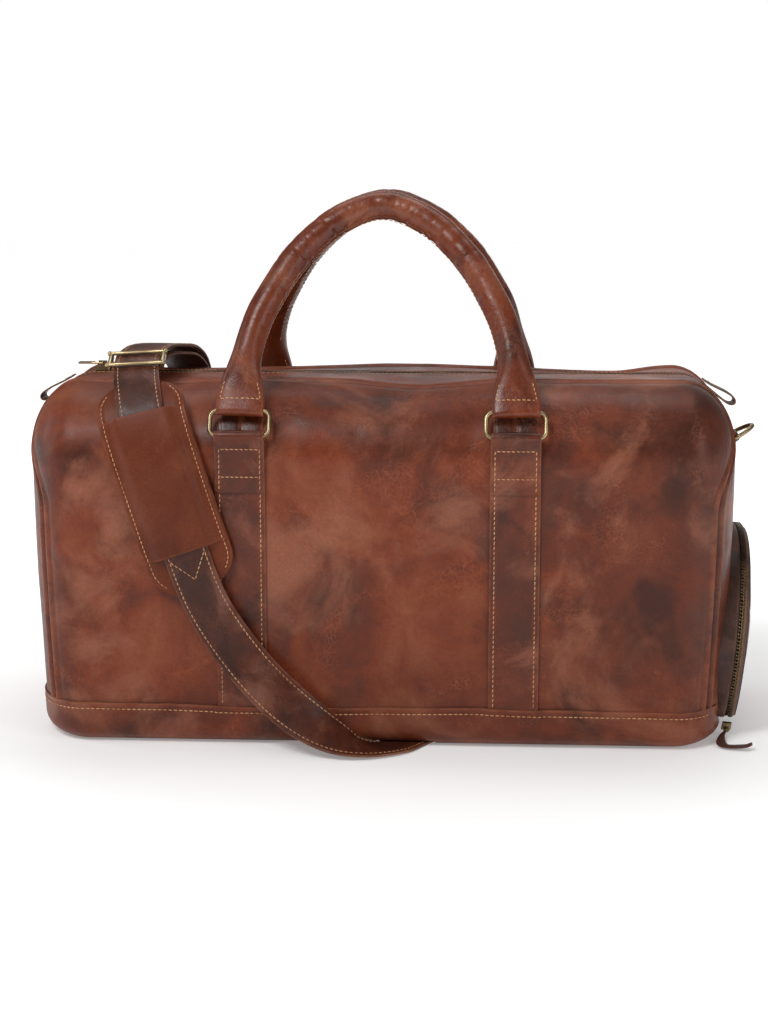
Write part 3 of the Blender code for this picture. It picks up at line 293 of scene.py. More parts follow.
def leather(name, dusky, middle, rust, pale, shift=0.0, size=1.0, gloss=(0.40, 0.58), lines=0.5,
            contrast=1.0, shine=0.24):
    """Waxed pull-up leather: clouded colour with a pale haze of painted sheen, fine pale crease lines, pores, wear
    where the mesh says, and painted shade in the seams' valleys where the mesh says.

    The four colours run from the darkest clouds to the palest. shift moves the pattern, size scales it,
    lines is the strength of the crease lines and gloss the lowest and highest roughness.
    """
    made, tree, shader = new_material(name)

    def cloud(moved, scale, detail, roughness, distortion):
        return noise_of(tree, object_place(tree, shift + moved), scale * size, detail, roughness, distortion)

    def tinted(colour, factors):
        return [min(1.0, c * k) for c, k in zip(colour, factors)]

    def scaled(value, factor):
        return maths(tree, "MULTIPLY", value, factor)

    place = object_place(tree, shift)
    patches = cloud(0, 21, 5, 0.60, 0.9)
    spread = 0.11 / contrast
    colour = ramp(tree, maths(tree, "ADD", scaled(cloud(0, 8.5, 5, 0.58, 0.6), 0.62), scaled(patches, 0.38)),
                  [(0.5 - 1.1 * spread, dusky), (0.5 - 0.25 * spread, middle),
                   (0.5 + 0.35 * spread, rust), (0.5 + 1.4 * spread, pale)])
    # broad cool areas, dark stains, and a pale bluish haze of painted sheen
    for area, low, high, strength, tint in (
            (cloud(0, 3.6, 2, 0.5, 0.3), 0.46, 0.66, 0.50, tinted(dusky, (1.25, 1.20, 1.20))),
            (cloud(5.1, 10, 5, 0.6, 0.8), 0.50, 0.70, 0.80, tinted(dusky, (0.50, 0.50, 0.50))),
            (cloud(7.9, 12, 5, 0.58, 0.5), 0.50, 0.72, 0.85, tinted(pale, (1.22, 1.52, 2.0)))):
        colour = mixed(tree, shares(tree, area, low, high, 0.0, strength * contrast), colour, tint)
    # crease lines, in the places where the leather has been bent
    warp = node(tree, "ShaderNodeTexNoise", [("Vector", place), ("Scale", 40.0 * size), ("Detail", 5.0)])
    bent = node(tree, "ShaderNodeVectorMath", [(0, warp.outputs["Color"]), (1, (0.035, 0.035, 0.035)),
                                               (2, place)], operation="MULTIPLY_ADD").outputs[0]
    where = shares(tree, cloud(2.3, 14, 3, 0.5, 1.0), 0.50, 0.68)
    vein = scaled(shares(tree, cells(tree, bent, 74.0 * size), 0.0, 0.050, 1.0, 0.0), where)
    hair = scaled(shares(tree, cells(tree, bent, 210.0 * size), 0.0, 0.10, 1.0, 0.0), where)
    streaks = noise_of(tree, object_place(tree, shift + 1.7, (1.0, 1.0, 0.42)), 95 * size, 6, 0.72, 2.2)
    streak = scaled(shares(tree, streaks, 0.55, 0.72), where)
    for line, strength in ((vein, 0.55), (hair, 0.45), (streak, 0.7)):
        colour = mixed(tree, scaled(line, lines * strength), colour, tinted(pale, (1.55, 1.55, 1.55)))
    grain = noise_of(tree, place, 520, 2, 0.6)
    colour = speckled(tree, 0.5, colour, grain, (0.3, 0.36), (0.7, 0.64))
    wear = node(tree, "ShaderNodeAttribute", attribute_name="wear").outputs["Fac"]
    worn = scaled(wear, shares(tree, noise_of(tree, place, 90, 4, 0.7), 0.3, 0.62))
    colour = mixed(tree, worn, colour, tinted(pale, (1.25, 1.25, 1.25)))
    # painted shade: the valleys of the seams darkened where the mesh's shade attribute says
    shade = node(tree, "ShaderNodeAttribute", attribute_name="shade").outputs["Fac"]
    colour = mixed(tree, scaled(shade, 0.7), colour, tinted(dusky, (0.35, 0.35, 0.35)))
    sheen = maths(tree, "ADD", scaled(patches, 0.6), scaled(grain, 0.4))
    pores = node(tree, "ShaderNodeTexVoronoi", [("Vector", place), ("Scale", 760.0)]).outputs["Distance"]
    height = maths(tree, "ADD", scaled(pores, 0.30), scaled(grain, 0.35))
    height = maths(tree, "ADD", height, scaled(noise_of(tree, place, 130, 3, 0.6), 0.9))
    height = maths(tree, "SUBTRACT", height, scaled(vein, 0.9))
    height = maths(tree, "SUBTRACT", height, scaled(hair, 0.35))
    finish_shader(tree, shader, colour, shares(tree, sheen, 0.38, 0.64, *gloss), height, 0.42, 0.0006)
    shader.inputs["Specular IOR Level"].default_value = shine
    shader.inputs["Coat Weight"].default_value = 0.3 * shine
    shader.inputs["Coat Roughness"].default_value = 0.24
    return made


def metal(name, bright, dark, low_gloss, high_gloss):
    """Metal that has tarnished in patches."""
    made, tree, shader = new_material(name)
    place = object_place(tree)
    patina = noise_of(tree, place, 28, 2, 0.5, 0.2)
    colour = mixed(tree, shares(tree, patina, 0.42, 0.66), bright, dark)
    colour = speckled(tree, 0.12, colour, noise_of(tree, place, 1400, 2, 0.5), (0.35, 0.35), (0.65, 0.7))
    finish_shader(tree, shader, colour, shares(tree, patina, 0.35, 0.7, low_gloss, high_gloss), patina, 0.05, 0.0001)
    shader.inputs["Metallic"].default_value = 1.0
    return made


def woven(name, light, dark, threads, roughness=0.9, strength=0.6):
    """Plain weave from crossed waves in the object's own places."""
    made, tree, shader = new_material(name)
    place = object_place(tree)
    waves = [node(tree, "ShaderNodeTexWave", [("Vector", place), ("Scale", threads / 20), ("Distortion", 0.6),
                                              ("Detail", 1.0)], bands_direction=direction).outputs["Fac"]
             for direction in ("X", "Y", "Z")]
    height = maths(tree, "MAXIMUM", maths(tree, "MAXIMUM", waves[0], waves[1]), waves[2])
    clouds = noise_of(tree, place, 30, 4, 0.6)
    colour = speckled(tree, 0.35, mixed(tree, height, dark, light), clouds, (0.35, 0.34), (0.68, 0.66))
    finish_shader(tree, shader, colour, shares(tree, clouds, 0.3, 0.7, roughness - 0.08, roughness + 0.06),
                  height, strength, 0.0004)
    return made


def thread(name, light, dark):
    """Waxed thread with its twist, and grime in places."""
    made, tree, shader = new_material(name)
    place = object_place(tree)
    twist = node(tree, "ShaderNodeTexWave", [("Vector", place), ("Scale", 260.0), ("Distortion", 1.5)],
                 bands_direction="DIAGONAL").outputs["Fac"]
    grime = noise_of(tree, place, 38, 4, 0.6)
    colour = mixed(tree, shares(tree, grime, 0.40, 0.66), light, dark)
    colour = speckled(tree, 0.5, colour, twist, (0.1, 0.35), (0.8, 0.68))
    finish_shader(tree, shader, colour, shares(tree, grime, 0.3, 0.7, 0.62, 0.80), twist, 0.5, 0.0002)
    return made


def raw_edge(name, light, dark):
    """Cut edge or inner face of leather: fibrous, matt and lighter than its grain side."""
    made, tree, shader = new_material(name)
    fibres = noise_of(tree, object_place(tree, 0, (1, 1, 4)), 420, 3, 0.7)
    clouds = noise_of(tree, object_place(tree), 26, 4, 0.6)
    colour = mixed(tree, shares(tree, clouds, 0.38, 0.62), dark, light)
    colour = speckled(tree, 0.6, colour, fibres, (0.3, 0.3), (0.7, 0.7))
    finish_shader(tree, shader, colour, shares(tree, fibres, 0.3, 0.7, 0.66, 0.85), fibres, 0.5, 0.0003)
    return made


BODY = leather("body_leather", (0.060, 0.014, 0.006), (0.108, 0.019, 0.006), (0.160, 0.029, 0.008),
               (0.212, 0.058, 0.024))
TRIM = leather("trim_leather", (0.054, 0.012, 0.005), (0.088, 0.015, 0.004), (0.122, 0.021, 0.005),
               (0.190, 0.050, 0.020), 3.7, 1.5, (0.34, 0.50), shine=0.28)
HANDLE = leather("handle_leather", (0.068, 0.014, 0.005), (0.112, 0.019, 0.005), (0.150, 0.026, 0.006),
                 (0.185, 0.044, 0.015), 8.2, 1.7, (0.29, 0.45), 0.6, shine=0.33)
PAD = leather("pad_leather", (0.092, 0.017, 0.005), (0.108, 0.021, 0.006), (0.122, 0.024, 0.007),
              (0.155, 0.036, 0.013), 12.4, 1.2, (0.44, 0.58), 0.15, 0.6, 0.17)
STRAP = leather("strap_leather", (0.036, 0.009, 0.005), (0.052, 0.012, 0.005), (0.076, 0.016, 0.006),
                (0.140, 0.046, 0.024), 16.9, 1.9, (0.38, 0.54), 0.35)
DARK = leather("dark_leather", (0.040, 0.018, 0.013), (0.060, 0.024, 0.016), (0.080, 0.028, 0.017),
               (0.110, 0.045, 0.028), 21.3, 1.6, (0.42, 0.58), 0.4)
EDGE = raw_edge("leather_edge", (0.230, 0.095, 0.045), (0.120, 0.042, 0.020))
SUEDE = raw_edge("leather_back", (0.110, 0.048, 0.028), (0.060, 0.026, 0.016))
THREAD = thread("tan_thread", (0.560, 0.290, 0.140), (0.380, 0.160, 0.065))
BRASS = metal("antique_brass", (0.360, 0.275, 0.155), (0.200, 0.148, 0.082), 0.30, 0.44)
TEETH = metal("zip_brass", (0.120, 0.086, 0.048), (0.040, 0.028, 0.018), 0.26, 0.46)
TAPE = woven("zip_tape", (0.036, 0.020, 0.014), (0.014, 0.008, 0.006), 2600)
LINING = woven("lining_cloth", (0.120, 0.080, 0.055), (0.050, 0.033, 0.023), 1700)
BOARD = woven("fibre_board", (0.170, 0.125, 0.085), (0.110, 0.080, 0.055), 900, 0.85, 0.3)
CORD = woven("core_cord", (0.300, 0.240, 0.170), (0.150, 0.115, 0.080), 1200, 0.9, 0.8)


# ---------------------------------------------------------------- mesh building
PENDING_BLENDS = []


def add_piece(name, verts, faces, finish, body, slot, nodes=(), values=None, blend=None):
    """A visible piece from its points and faces, in place of the nodes.

    values maps an attribute's name to one number per point. blend is (body, body, start, end) for a piece
    that crosses a joint; such a piece is attached to no body, and when all the pieces are made only its transform is
    baked.
    """
    mesh = bpy.data.meshes.new(name)
    mesh.from_pydata([tuple(v) for v in verts], [], faces)
    for key, numbers in (values or {}).items():
        attribute = mesh.attributes.new(key, "FLOAT", "POINT")
        attribute.data.foreach_set("value", numbers)
    mesh.shade_smooth()
    for each in finish if isinstance(finish, (list, tuple)) else [finish]:
        mesh.materials.append(each)
    obj = bpy.data.objects.new(name, mesh)
    bpy.context.scene.collection.objects.link(obj)
    if blend:
        PENDING_BLENDS.append((obj, blend))
    else:
        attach(obj, body)
    if nodes:
        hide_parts(*nodes)
    return obj


def apply_modifiers(obj):
    """Makes the evaluated mesh the object's own, so that nothing is left to work out later."""
    bpy.context.view_layer.update()
    graph = bpy.context.evaluated_depsgraph_get()
    made = bpy.data.meshes.new_from_object(obj.evaluated_get(graph), preserve_all_data_layers=True,
                                           depsgraph=graph)
    obj.modifiers.clear()
    obj.data = made


def thicken(obj, thickness, edge_finish=None, back_finish=None, bevel=0.0):
    """Gives a surface the thickness of its leather or cloth behind it, and cut-edge material on the rim."""
    count = len(obj.data.materials)
    for extra in (edge_finish, back_finish):
        if extra:
            obj.data.materials.append(extra)
    modifier = obj.modifiers.new("wall", "SOLIDIFY")
    modifier.thickness = thickness
    modifier.offset = -1
    modifier.use_even_offset = False
    if edge_finish:
        modifier.material_offset_rim = count
    if back_finish:
        modifier.material_offset = count + 1
    if bevel:
        soften = obj.modifiers.new("soft edge", "BEVEL")
        soften.width = bevel
        soften.segments = 2
        soften.limit_method = "ANGLE"
        soften.angle_limit = math.radians(55)
    apply_modifiers(obj)
    obj.data.shade_smooth()
    obj.data.set_sharp_from_angle(angle=math.radians(60))


def orient(obj, direction, near):
    """Turns all the faces over if those nearest a point look away from the direction."""
    mesh = obj.data
    nearest = min(mesh.polygons, key=lambda p: (p.center - near).length)
    if nearest.normal.dot(direction) < 0:
        mesh.flip_normals()


def fix_normals(obj, closed=True):
    """Turns all the faces the same way, and outwards where the mesh is closed."""
    bm = bmesh.new()
    bm.from_mesh(obj.data)
    bmesh.ops.recalc_face_normals(bm, faces=bm.faces)
    if closed and bm.calc_volume(signed=True) < 0:
        bmesh.ops.reverse_faces(bm, faces=bm.faces)
    bm.to_mesh(obj.data)
    bm.free()
    if closed:
        obj.data.set_sharp_from_angle(angle=math.radians(50))


def grid_faces(rows, columns, wrap=False):
    """Faces between rows of points; wrap closes each row into a ring."""
    faces = []
    for i in range(rows - 1):
        for j in range(columns if wrap else columns - 1):
            k = (j + 1) % columns
            faces.append((i * columns + j, i * columns + k, (i + 1) * columns + k, (i + 1) * columns + j))
    return faces


def used_only(verts, faces, values):
    """Drops the points that no face uses."""
    kept = sorted({i for face in faces for i in face})
    index = {old: new for new, old in enumerate(kept)}
    return ([verts[i] for i in kept], [tuple(index[i] for i in face) for face in faces],
            {key: [numbers[i] for i in kept] for key, numbers in values.items()})


CAPSULE_FACES = grid_faces(5, 6, True) + [tuple(reversed(range(6))), tuple(range(24, 30))]


def capsule_into(verts, faces, centre, along, up, length, radius, flatten=0.75):
    """Adds one stitch, a short rounded bar of thread, lying along its seam."""
    side = along.cross(up).normalized()
    first = len(verts)
    for share, size in ((-0.5, 0.45), (-0.32, 0.95), (0.0, 1.08), (0.32, 0.95), (0.5, 0.45)):
        middle = centre + along * (length * share) + up * (-0.55 * radius * (2 * share) ** 2)
        for k in range(6):
            angle = math.pi * k / 3
            verts.append(middle + side * (radius * size * math.cos(angle))
                         + up * (radius * size * flatten * math.sin(angle)))
    faces.extend(tuple(first + i for i in face) for face in CAPSULE_FACES)


def run_lengths(points):
    """Distance along a line at each of its points."""
    lengths = [0.0]
    for a, b in zip(points, points[1:]):
        lengths.append(lengths[-1] + (b - a).length)
    return lengths


def stretch_at(lengths, reach, first=0):
    """Index of the stretch of a line that holds a distance along it."""
    while first < len(lengths) - 2 and lengths[first + 1] < reach:
        first += 1
    return first


def heading(route, i):
    """Direction of a line at one of its points."""
    return (route[min(i + 1, len(route) - 1)] - route[max(i - 1, 0)]).normalized()


def stitch_line(verts, faces, points, normals, pitch, radius, lift, slant):
    """Lays stitches along a line of points on a surface."""
    lengths = run_lengths(points)
    total = lengths[-1]
    count = max(1, round(total / pitch))
    step, j = total / count, 0
    for i in range(count):
        reach = (i + 0.5) * step
        j = stretch_at(lengths, reach, j)
        share = (reach - lengths[j]) / max(1e-9, lengths[j + 1] - lengths[j])
        place = points[j].lerp(points[j + 1], share)
        up = normals[j].lerp(normals[j + 1], share).normalized()
        along = (points[j + 1] - points[j]).normalized()
        along = (along + along.cross(up) * (slant + RANDOM.uniform(-0.05, 0.05))).normalized()
        capsule_into(verts, faces, place + up * lift, along, up, step * 0.74, radius)


def stitches(name, lines, body, slot="trim_leather", pitch=0.0042, radius=0.00042, lift=0.0001, slant=0.0,
             blend=None):
    """One piece of thread with all the stitches along lines of (points, normals)."""
    verts, faces = [], []
    for points, normals in lines:
        stitch_line(verts, faces, [Vector(p) for p in points], [Vector(n) for n in normals], pitch, radius,
                    lift, slant)
    return add_piece(name, verts, faces, THREAD, body, slot, blend=blend)


def catmull(points, per_span):
    """A smooth curve through the points."""
    points = [Vector(p) for p in points]
    ends = [2 * points[0] - points[1]] + points + [2 * points[-1] - points[-2]]
    curve = []
    for a, b, c, d in zip(ends, ends[1:], ends[2:], ends[3:]):
        for i in range(per_span):
            t = i / per_span
            curve.append(0.5 * (2 * b + (c - a) * t + (2 * a - 5 * b + 4 * c - d) * t ** 2
                                + (3 * b - a - 3 * c + d) * t ** 3))
    return curve + [points[-1]]


def swept(verts, faces, sections, close_ends=True):
    """Skins a list of equal closed sections and returns the index of the first point."""
    first, count = len(verts), len(sections[0])
    for section in sections:
        verts.extend(section)
    faces.extend(tuple(first + i for i in face) for face in grid_faces(len(sections), count, True))
    if close_ends:
        faces.append(tuple(first + k for k in reversed(range(count))))
        faces.append(tuple(first + (len(sections) - 1) * count + k for k in range(count)))
    return first


def wire_into(verts, faces, points, radius, closed=True, segments=12):
    """A round wire through points, with its section carried along without twist."""
    points = [Vector(p) for p in points]
    count = len(points)
    sections, side = [], None
    for i, place in enumerate(points):
        before = points[i - 1] if closed or i else place
        after = points[(i + 1) % count] if closed or i < count - 1 else place
        along = (after - before).normalized()
        if side is None:
            side = along.orthogonal().normalized()
        side = (side - along * side.dot(along)).normalized()
        up = along.cross(side)
        sections.append([place + side * (radius * math.cos(a)) + up * (radius * math.sin(a))
                         for a in (2 * math.pi * k / segments for k in range(segments))])
    if not closed:
        return swept(verts, faces, sections)
    first = swept(verts, faces, sections, False)
    last = first + (count - 1) * segments
    start, end = sections[0], sections[-1]
    twist = min(range(segments), key=lambda s: (start[s] - end[0]).length)
    for k in range(segments):
        j = (k + 1) % segments
        faces.append((last + k, last + j, first + (j + twist) % segments, first + (k + twist) % segments))
    return first


def rounded_box_into(verts, faces, matrix, size, edge, steps=1):
    """A box with round edges, placed by a matrix."""
    bm = bmesh.new()
    bmesh.ops.create_cube(bm, size=1.0, matrix=Matrix.Diagonal((*size, 1)))
    bmesh.ops.bevel(bm, geom=bm.edges[:], offset=edge, segments=steps, affect="EDGES", profile=0.5)
    first = len(verts)
    bm.verts.index_update()
    verts.extend(matrix @ v.co for v in bm.verts)
    faces.extend(tuple(first + v.index for v in f.verts) for f in bm.faces)
    bm.free()


def rounded_rectangle(half_width, half_height, corner, steps):
    points = []
    for sign_u, sign_v, start in QUARTERS:
        for i in range(steps + 1):
            angle = math.radians(start + 90 * i / steps)
            points.append((sign_u * (half_width - corner) + corner * math.cos(angle),
                           sign_v * (half_height - corner) + corner * math.sin(angle)))
    return points


def dense(points, spacing, closed=True):
    """Adds points along the straight stretches of a line."""
    result = []
    points = [Vector(p) for p in points]
    pairs = zip(points, points[1:] + points[:1]) if closed else zip(points, points[1:])
    for a, b in pairs:
        steps = max(1, round((b - a).length / spacing))
        result += [a.lerp(b, i / steps) for i in range(steps)]
    return result if closed else result + [points[-1]]


# ---------------------------------------------------------------- the body's surface
PANEL_LOW = BASE_WRAP - 0.009        # the panels reach down behind the base panel
PANEL_THICK = 0.0024
SEAM_INSET = 0.0046                  # the rolled edge beside a seam, where the leather wears
ZIP_SEAM = ZIP_HALF + 0.0056         # the row of stitches beside the zip


def plan(height):
    """(core X, radius X, radius Y) of the body's outline at a height."""
    lean = 0.008 * max(0.0, 1 - height / SHOULDER) ** 2
    core_x, radius_x, radius_y = CORE_X - lean, SIDE_X, SIDE_Y
    if height > SHOULDER:
        share = math.sqrt(max(0.0, 1 - ((height - SHOULDER) / TOP_ROUND) ** 2))
        radius_x, radius_y = SIDE_X * share, SIDE_Y * share
    elif height < BASE_ROUND:
        inset = BASE_ROUND - math.sqrt(max(0.0, BASE_ROUND ** 2 - (BASE_ROUND - height) ** 2))
        radius_x, radius_y = radius_x - inset, radius_y - inset
    return core_x, radius_x, radius_y


def outline_loop(level, z, inset, corner, long, short):
    """The body's outline at a level, moved in and drawn at height z.

    corner, long and short are the steps along each rounded corner, each face and each end.
    """
    core_x, radius_x, radius_y = plan(level)
    radius_x, radius_y = max(0.001, radius_x - inset), max(0.001, radius_y - inset)
    loop = []
    for sign_x, sign_y, start in QUARTERS:
        for i in range(corner + 1):
            angle = math.radians(start + 90 * i / corner)
            loop.append(Vector((sign_x * core_x + radius_x * math.cos(angle),
                                sign_y * CORE_Y + radius_y * math.sin(angle), z)))
        if sign_x == sign_y:
            loop += [Vector((sign_x * core_x * (1 - 2 * i / long), sign_y * (CORE_Y + radius_y), z))
                     for i in range(1, long)]
        else:
            loop += [Vector((sign_x * (core_x + radius_x), sign_y * CORE_Y * (1 - 2 * i / short), z))
                     for i in range(1, short)]
    return loop


def seam_y(height):
    """Distance from the middle plane to the seam beside the front or back panel."""
    share = smooth((height - SHOULDER + 0.040) / (TOP_ROUND + 0.035))
    return SEAM_Y - (SEAM_Y - CORE_Y) * share


def seam_angle(height):
    """Where the seam lies on the rounded corner, from the face (0) to the end (90 degrees)."""
    _, _, radius_y = plan(height)
    if radius_y < 0.001:
        return math.pi / 2
    return math.acos(min(1.0, max(0.0, (seam_y(height) - CORE_Y) / radius_y)))


def outward(x, y, z):
    """Normal of the body at a place on it."""
    core_x, _, _ = plan(z)
    normal = Vector((0, 0, 0))
    over_x, over_y = abs(x) - core_x, abs(y) - CORE_Y
    if over_x > 0:
        normal.x = math.copysign(over_x / SIDE_X ** 2, x)
    if over_y > 0:
        normal.y = math.copysign(over_y / SIDE_Y ** 2, y)
    if z > SHOULDER:
        normal.z = (z - SHOULDER) / TOP_ROUND ** 2
    elif z < BASE_ROUND:
        normal.z = (z - BASE_ROUND) / BASE_ROUND ** 2
        normal.x *= 2.2
        normal.y *= 3.2
    return normal.normalized() if normal.length > 1e-9 else UP.copy()


def seam_relief(distance):
    """The rolled edge beside a seam, and the valley of the seam itself."""
    return (-0.0030 * bump(distance, 0.0016) + 0.0014 * bump(distance - 0.0042, 0.0026)
            - 0.0009 * bump(distance - 0.0092, 0.0018))


def seam_wear(distance):
    return bump(distance - SEAM_INSET, 0.0030)


# painted shade: how strongly the valley of a seam is darkened
def seam_painted_shade(distance):
    return 0.9 * bump(distance, 0.0014)


def slouch(x, y, z):
    """How far the leather stands out from (or falls in behind) the regular body, away from the bands."""
    side = math.copysign(1.0, y)
    place = (x, side * 0.3, z)
    beside_band = smooth((abs(abs(x) - BAND_X) - BAND_HALF - 0.003) / 0.016)
    free = 1 - (1 - beside_band) * smooth((SHOULDER + 0.045 - z) / 0.03)
    under_pad = smooth((-0.06 - x) / 0.03) * smooth((x + 0.24) / 0.02) if y < 0 else 0.0
    wave = rough(place, 7.5, 2.0 + side) * 0.0022 + rough(place, 17, 5.0 + side) * 0.0009
    hollow = -0.0016 * bump(z - 0.15, 0.09) * bump(x, 0.075)
    folds = 0.0
    for seed, scale, depth in ((1.0, 11, 0.0008), (4.0, 23, 0.0004)):
        where = smooth(0.5 + 1.6 * rough(place, 6, seed + 20))
        folds -= depth * creased((x + z * 0.4, side * 0.3, z - x * 0.3), scale, seed + side) * where
    across = abs(x) - BAND_X
    pull = -0.0010 * bump(across - math.copysign(0.034, across), 0.012) * smooth((z - 0.1) / 0.1)
    return min(wave + hollow + folds + pull, 0.0020 - 0.0012 * under_pad) * free


def top_dip(x, y):
    """How far the top sinks below its full height between the handles and beside them."""
    side = math.copysign(1.0, y)
    if side < 0:
        wave = 0.0060 * bump(x - 0.030, 0.045) + 0.0022 * bump(x + 0.20, 0.05)
    else:
        wave = 0.0050 * (1 - bump(x - 0.02, 0.10)) * smooth((0.25 - abs(x)) / 0.05)
    return max(0.0, wave + 0.0010 * rough((x, side * 0.3, 0), 14, 6.0))


def face_row(side, z, corner=16, middle=124):
    """Places along the face at one height, from the left seam to the right, with distances to the nearer."""
    core_x, radius_x, radius_y = plan(z)
    limit = seam_angle(z)
    angles = [limit * ((corner - i) / corner) ** 0.8 for i in range(corner)]
    left = [(-core_x - radius_x * math.sin(a), side * (CORE_Y + radius_y * math.cos(a)), z) for a in angles]
    centre = [(-core_x + 2 * core_x * i / middle, side * (CORE_Y + radius_y), z) for i in range(middle + 1)]
    right = [(-x, y, z) for x, y, z in reversed(left)]
    row = [Vector(p) for p in left + centre + right]
    lengths = run_lengths(row)
    return [(p, min(s, lengths[-1] - s)) for p, s in zip(row, lengths)]


def rising_rows(low, top_steps=34, spacing=0.0046):
    """Heights from the base panel's edge to the top, closer together near the top seam."""
    count = round((SHOULDER - low) / spacing)
    rows = [low + (SHOULDER - low) * i / count for i in range(count)]
    for i in range(top_steps + 1):
        angle = math.pi / 2 * (1 - (1 - i / top_steps) ** 1.25)
        rows.append(SHOULDER + TOP_ROUND * math.sin(angle))
    return rows


def top_distance(z):
    """Distance along the shoulder from a height up to the top seam."""
    if z <= SHOULDER:
        return 1.0
    angle = math.asin(min(1.0, (z - SHOULDER) / TOP_ROUND))
    return (math.pi / 2 - angle) * (SIDE_Y + TOP_ROUND) / 2


def make_face(name, side):
    rows = rising_rows(PANEL_LOW)
    verts, wear, shade = [], [], []
    for z in rows:
        along_top = top_distance(z)
        for place, distance in face_row(side, z):
            nearest = min(distance, along_top)
            calm = smooth(nearest / 0.02)
            if abs(place.x) < CORE_X + 0.01:
                calm = smooth(along_top / 0.02) * smooth(distance / 0.02)
            moved = place + outward(*place) * (slouch(*place) * calm + seam_relief(nearest))
            moved.z -= top_dip(place.x, side) * smooth((z - SHOULDER) / TOP_ROUND) ** 2
            verts.append(moved)
            wear.append(0.55 * seam_wear(nearest) + 0.18 * max(0.0, rough(place, 20, 3)))
            # painted shade along the valley of the seam
            shade.append(seam_painted_shade(nearest))
    obj = add_piece(name, verts, grid_faces(len(rows), len(verts) // len(rows)), BODY, "bag", "bag_leather",
                    [name], {"wear": wear, "shade": shade})
    orient(obj, Vector((0, side, 0)), Vector((0, side * 0.125, 0.15)))
    thicken(obj, PANEL_THICK, EDGE, SUEDE)


# ---------------------------------------------------------------- the ends, and the strip along the top
def strip_stations():
    """Stations along the end strip: up the end from the base, over the corner, and along the top."""
    stations = [("side", PANEL_LOW + (SHOULDER - PANEL_LOW) * i / 46) for i in range(46)]
    stations += [("side", SHOULDER + TOP_ROUND * math.sin(math.pi / 2 * i / 30)) for i in range(30)]
    length = CORE_X - MOUTH
    count = round(length / 0.004)
    return stations + [("top", CORE_X - length * i / count) for i in range(count + 1)]


def strip_width(kind, value):
    """Half the width of the end strip at a station."""
    return CORE_Y if kind == "top" else seam_y(value)


def strip_place(side_x, kind, value, share):
    """A place across the end strip: share runs from -1 at the front seam to 1 at the back seam."""
    if kind == "top":
        return Vector((side_x * value, share * CORE_Y, HEIGHT))
    core_x, radius_x, radius_y = plan(value)
    y = share * seam_y(value)
    over = min(1.0, max(0.0, abs(y) - CORE_Y) / max(1e-6, radius_y))
    return Vector((side_x * (core_x + radius_x * math.sqrt(1 - over * over)), y, value))


def across_shares(width, steps=22):
    """Shares across half of the strip, from the zip's edge to the seam, closer together at the seam."""
    ys = [ZIP_HALF + (width - ZIP_HALF) * (1 - (1 - i / steps) ** 1.5) for i in range(steps + 1)]
    return [y / width for y in ys]


def in_zip_stretch(place):
    """1 where the closed zip runs, fading to 0 below its end."""
    return smooth((ZIP_END + 0.003 - abs(place.x)) / 0.003) if place.z > SHOULDER else 0.0


def strip_relief(place, edge):
    """The folded leather beside the zip and the seam along the edge of the strip."""
    zip_edge = abs(place.y) - ZIP_HALF
    zipped = in_zip_stretch(place)
    out = seam_relief(edge)
    if zipped > 0 and zip_edge > -0.001:
        out += zipped * (-0.0022 * bump(zip_edge, 0.0013) + 0.0005 * bump(zip_edge - 0.0028, 0.0022)
                         - 0.00035 * bump(zip_edge - 0.0056, 0.0009))
    return out


def zip_wear(place):
    return 0.4 * bump(abs(place.y) - ZIP_HALF - 0.0015, 0.0015)


DOOR_CENTRE_X = HALF_LENGTH - 0.008 * (1 - DOOR_HEIGHT / SHOULDER) ** 2
DOOR_TILT = math.radians(5.0)
DOOR_FRAME = Matrix.Translation((DOOR_CENTRE_X, 0, DOOR_HEIGHT)) @ Matrix.Rotation(DOOR_TILT, 4, "Y")
DOOR_BACK = DOOR_FRAME.inverted()
DOOR_CHORD = 0.018 - DOOR_HEIGHT


def in_door(place, radius):
    local = DOOR_BACK @ Vector(place)
    return local.y ** 2 + local.z ** 2 < radius ** 2 and local.z > DOOR_CHORD + 0.003


def without_door(verts, faces, radius):
    """Leaves out the quads in the opening of the shoe compartment."""
    kept = []
    for face in faces:
        centre = sum((verts[i] for i in face), Vector()) / len(face)
        if len(face) > 4 or centre.x < 0.26 or not in_door(centre, radius):
            kept.append(face)
    return kept


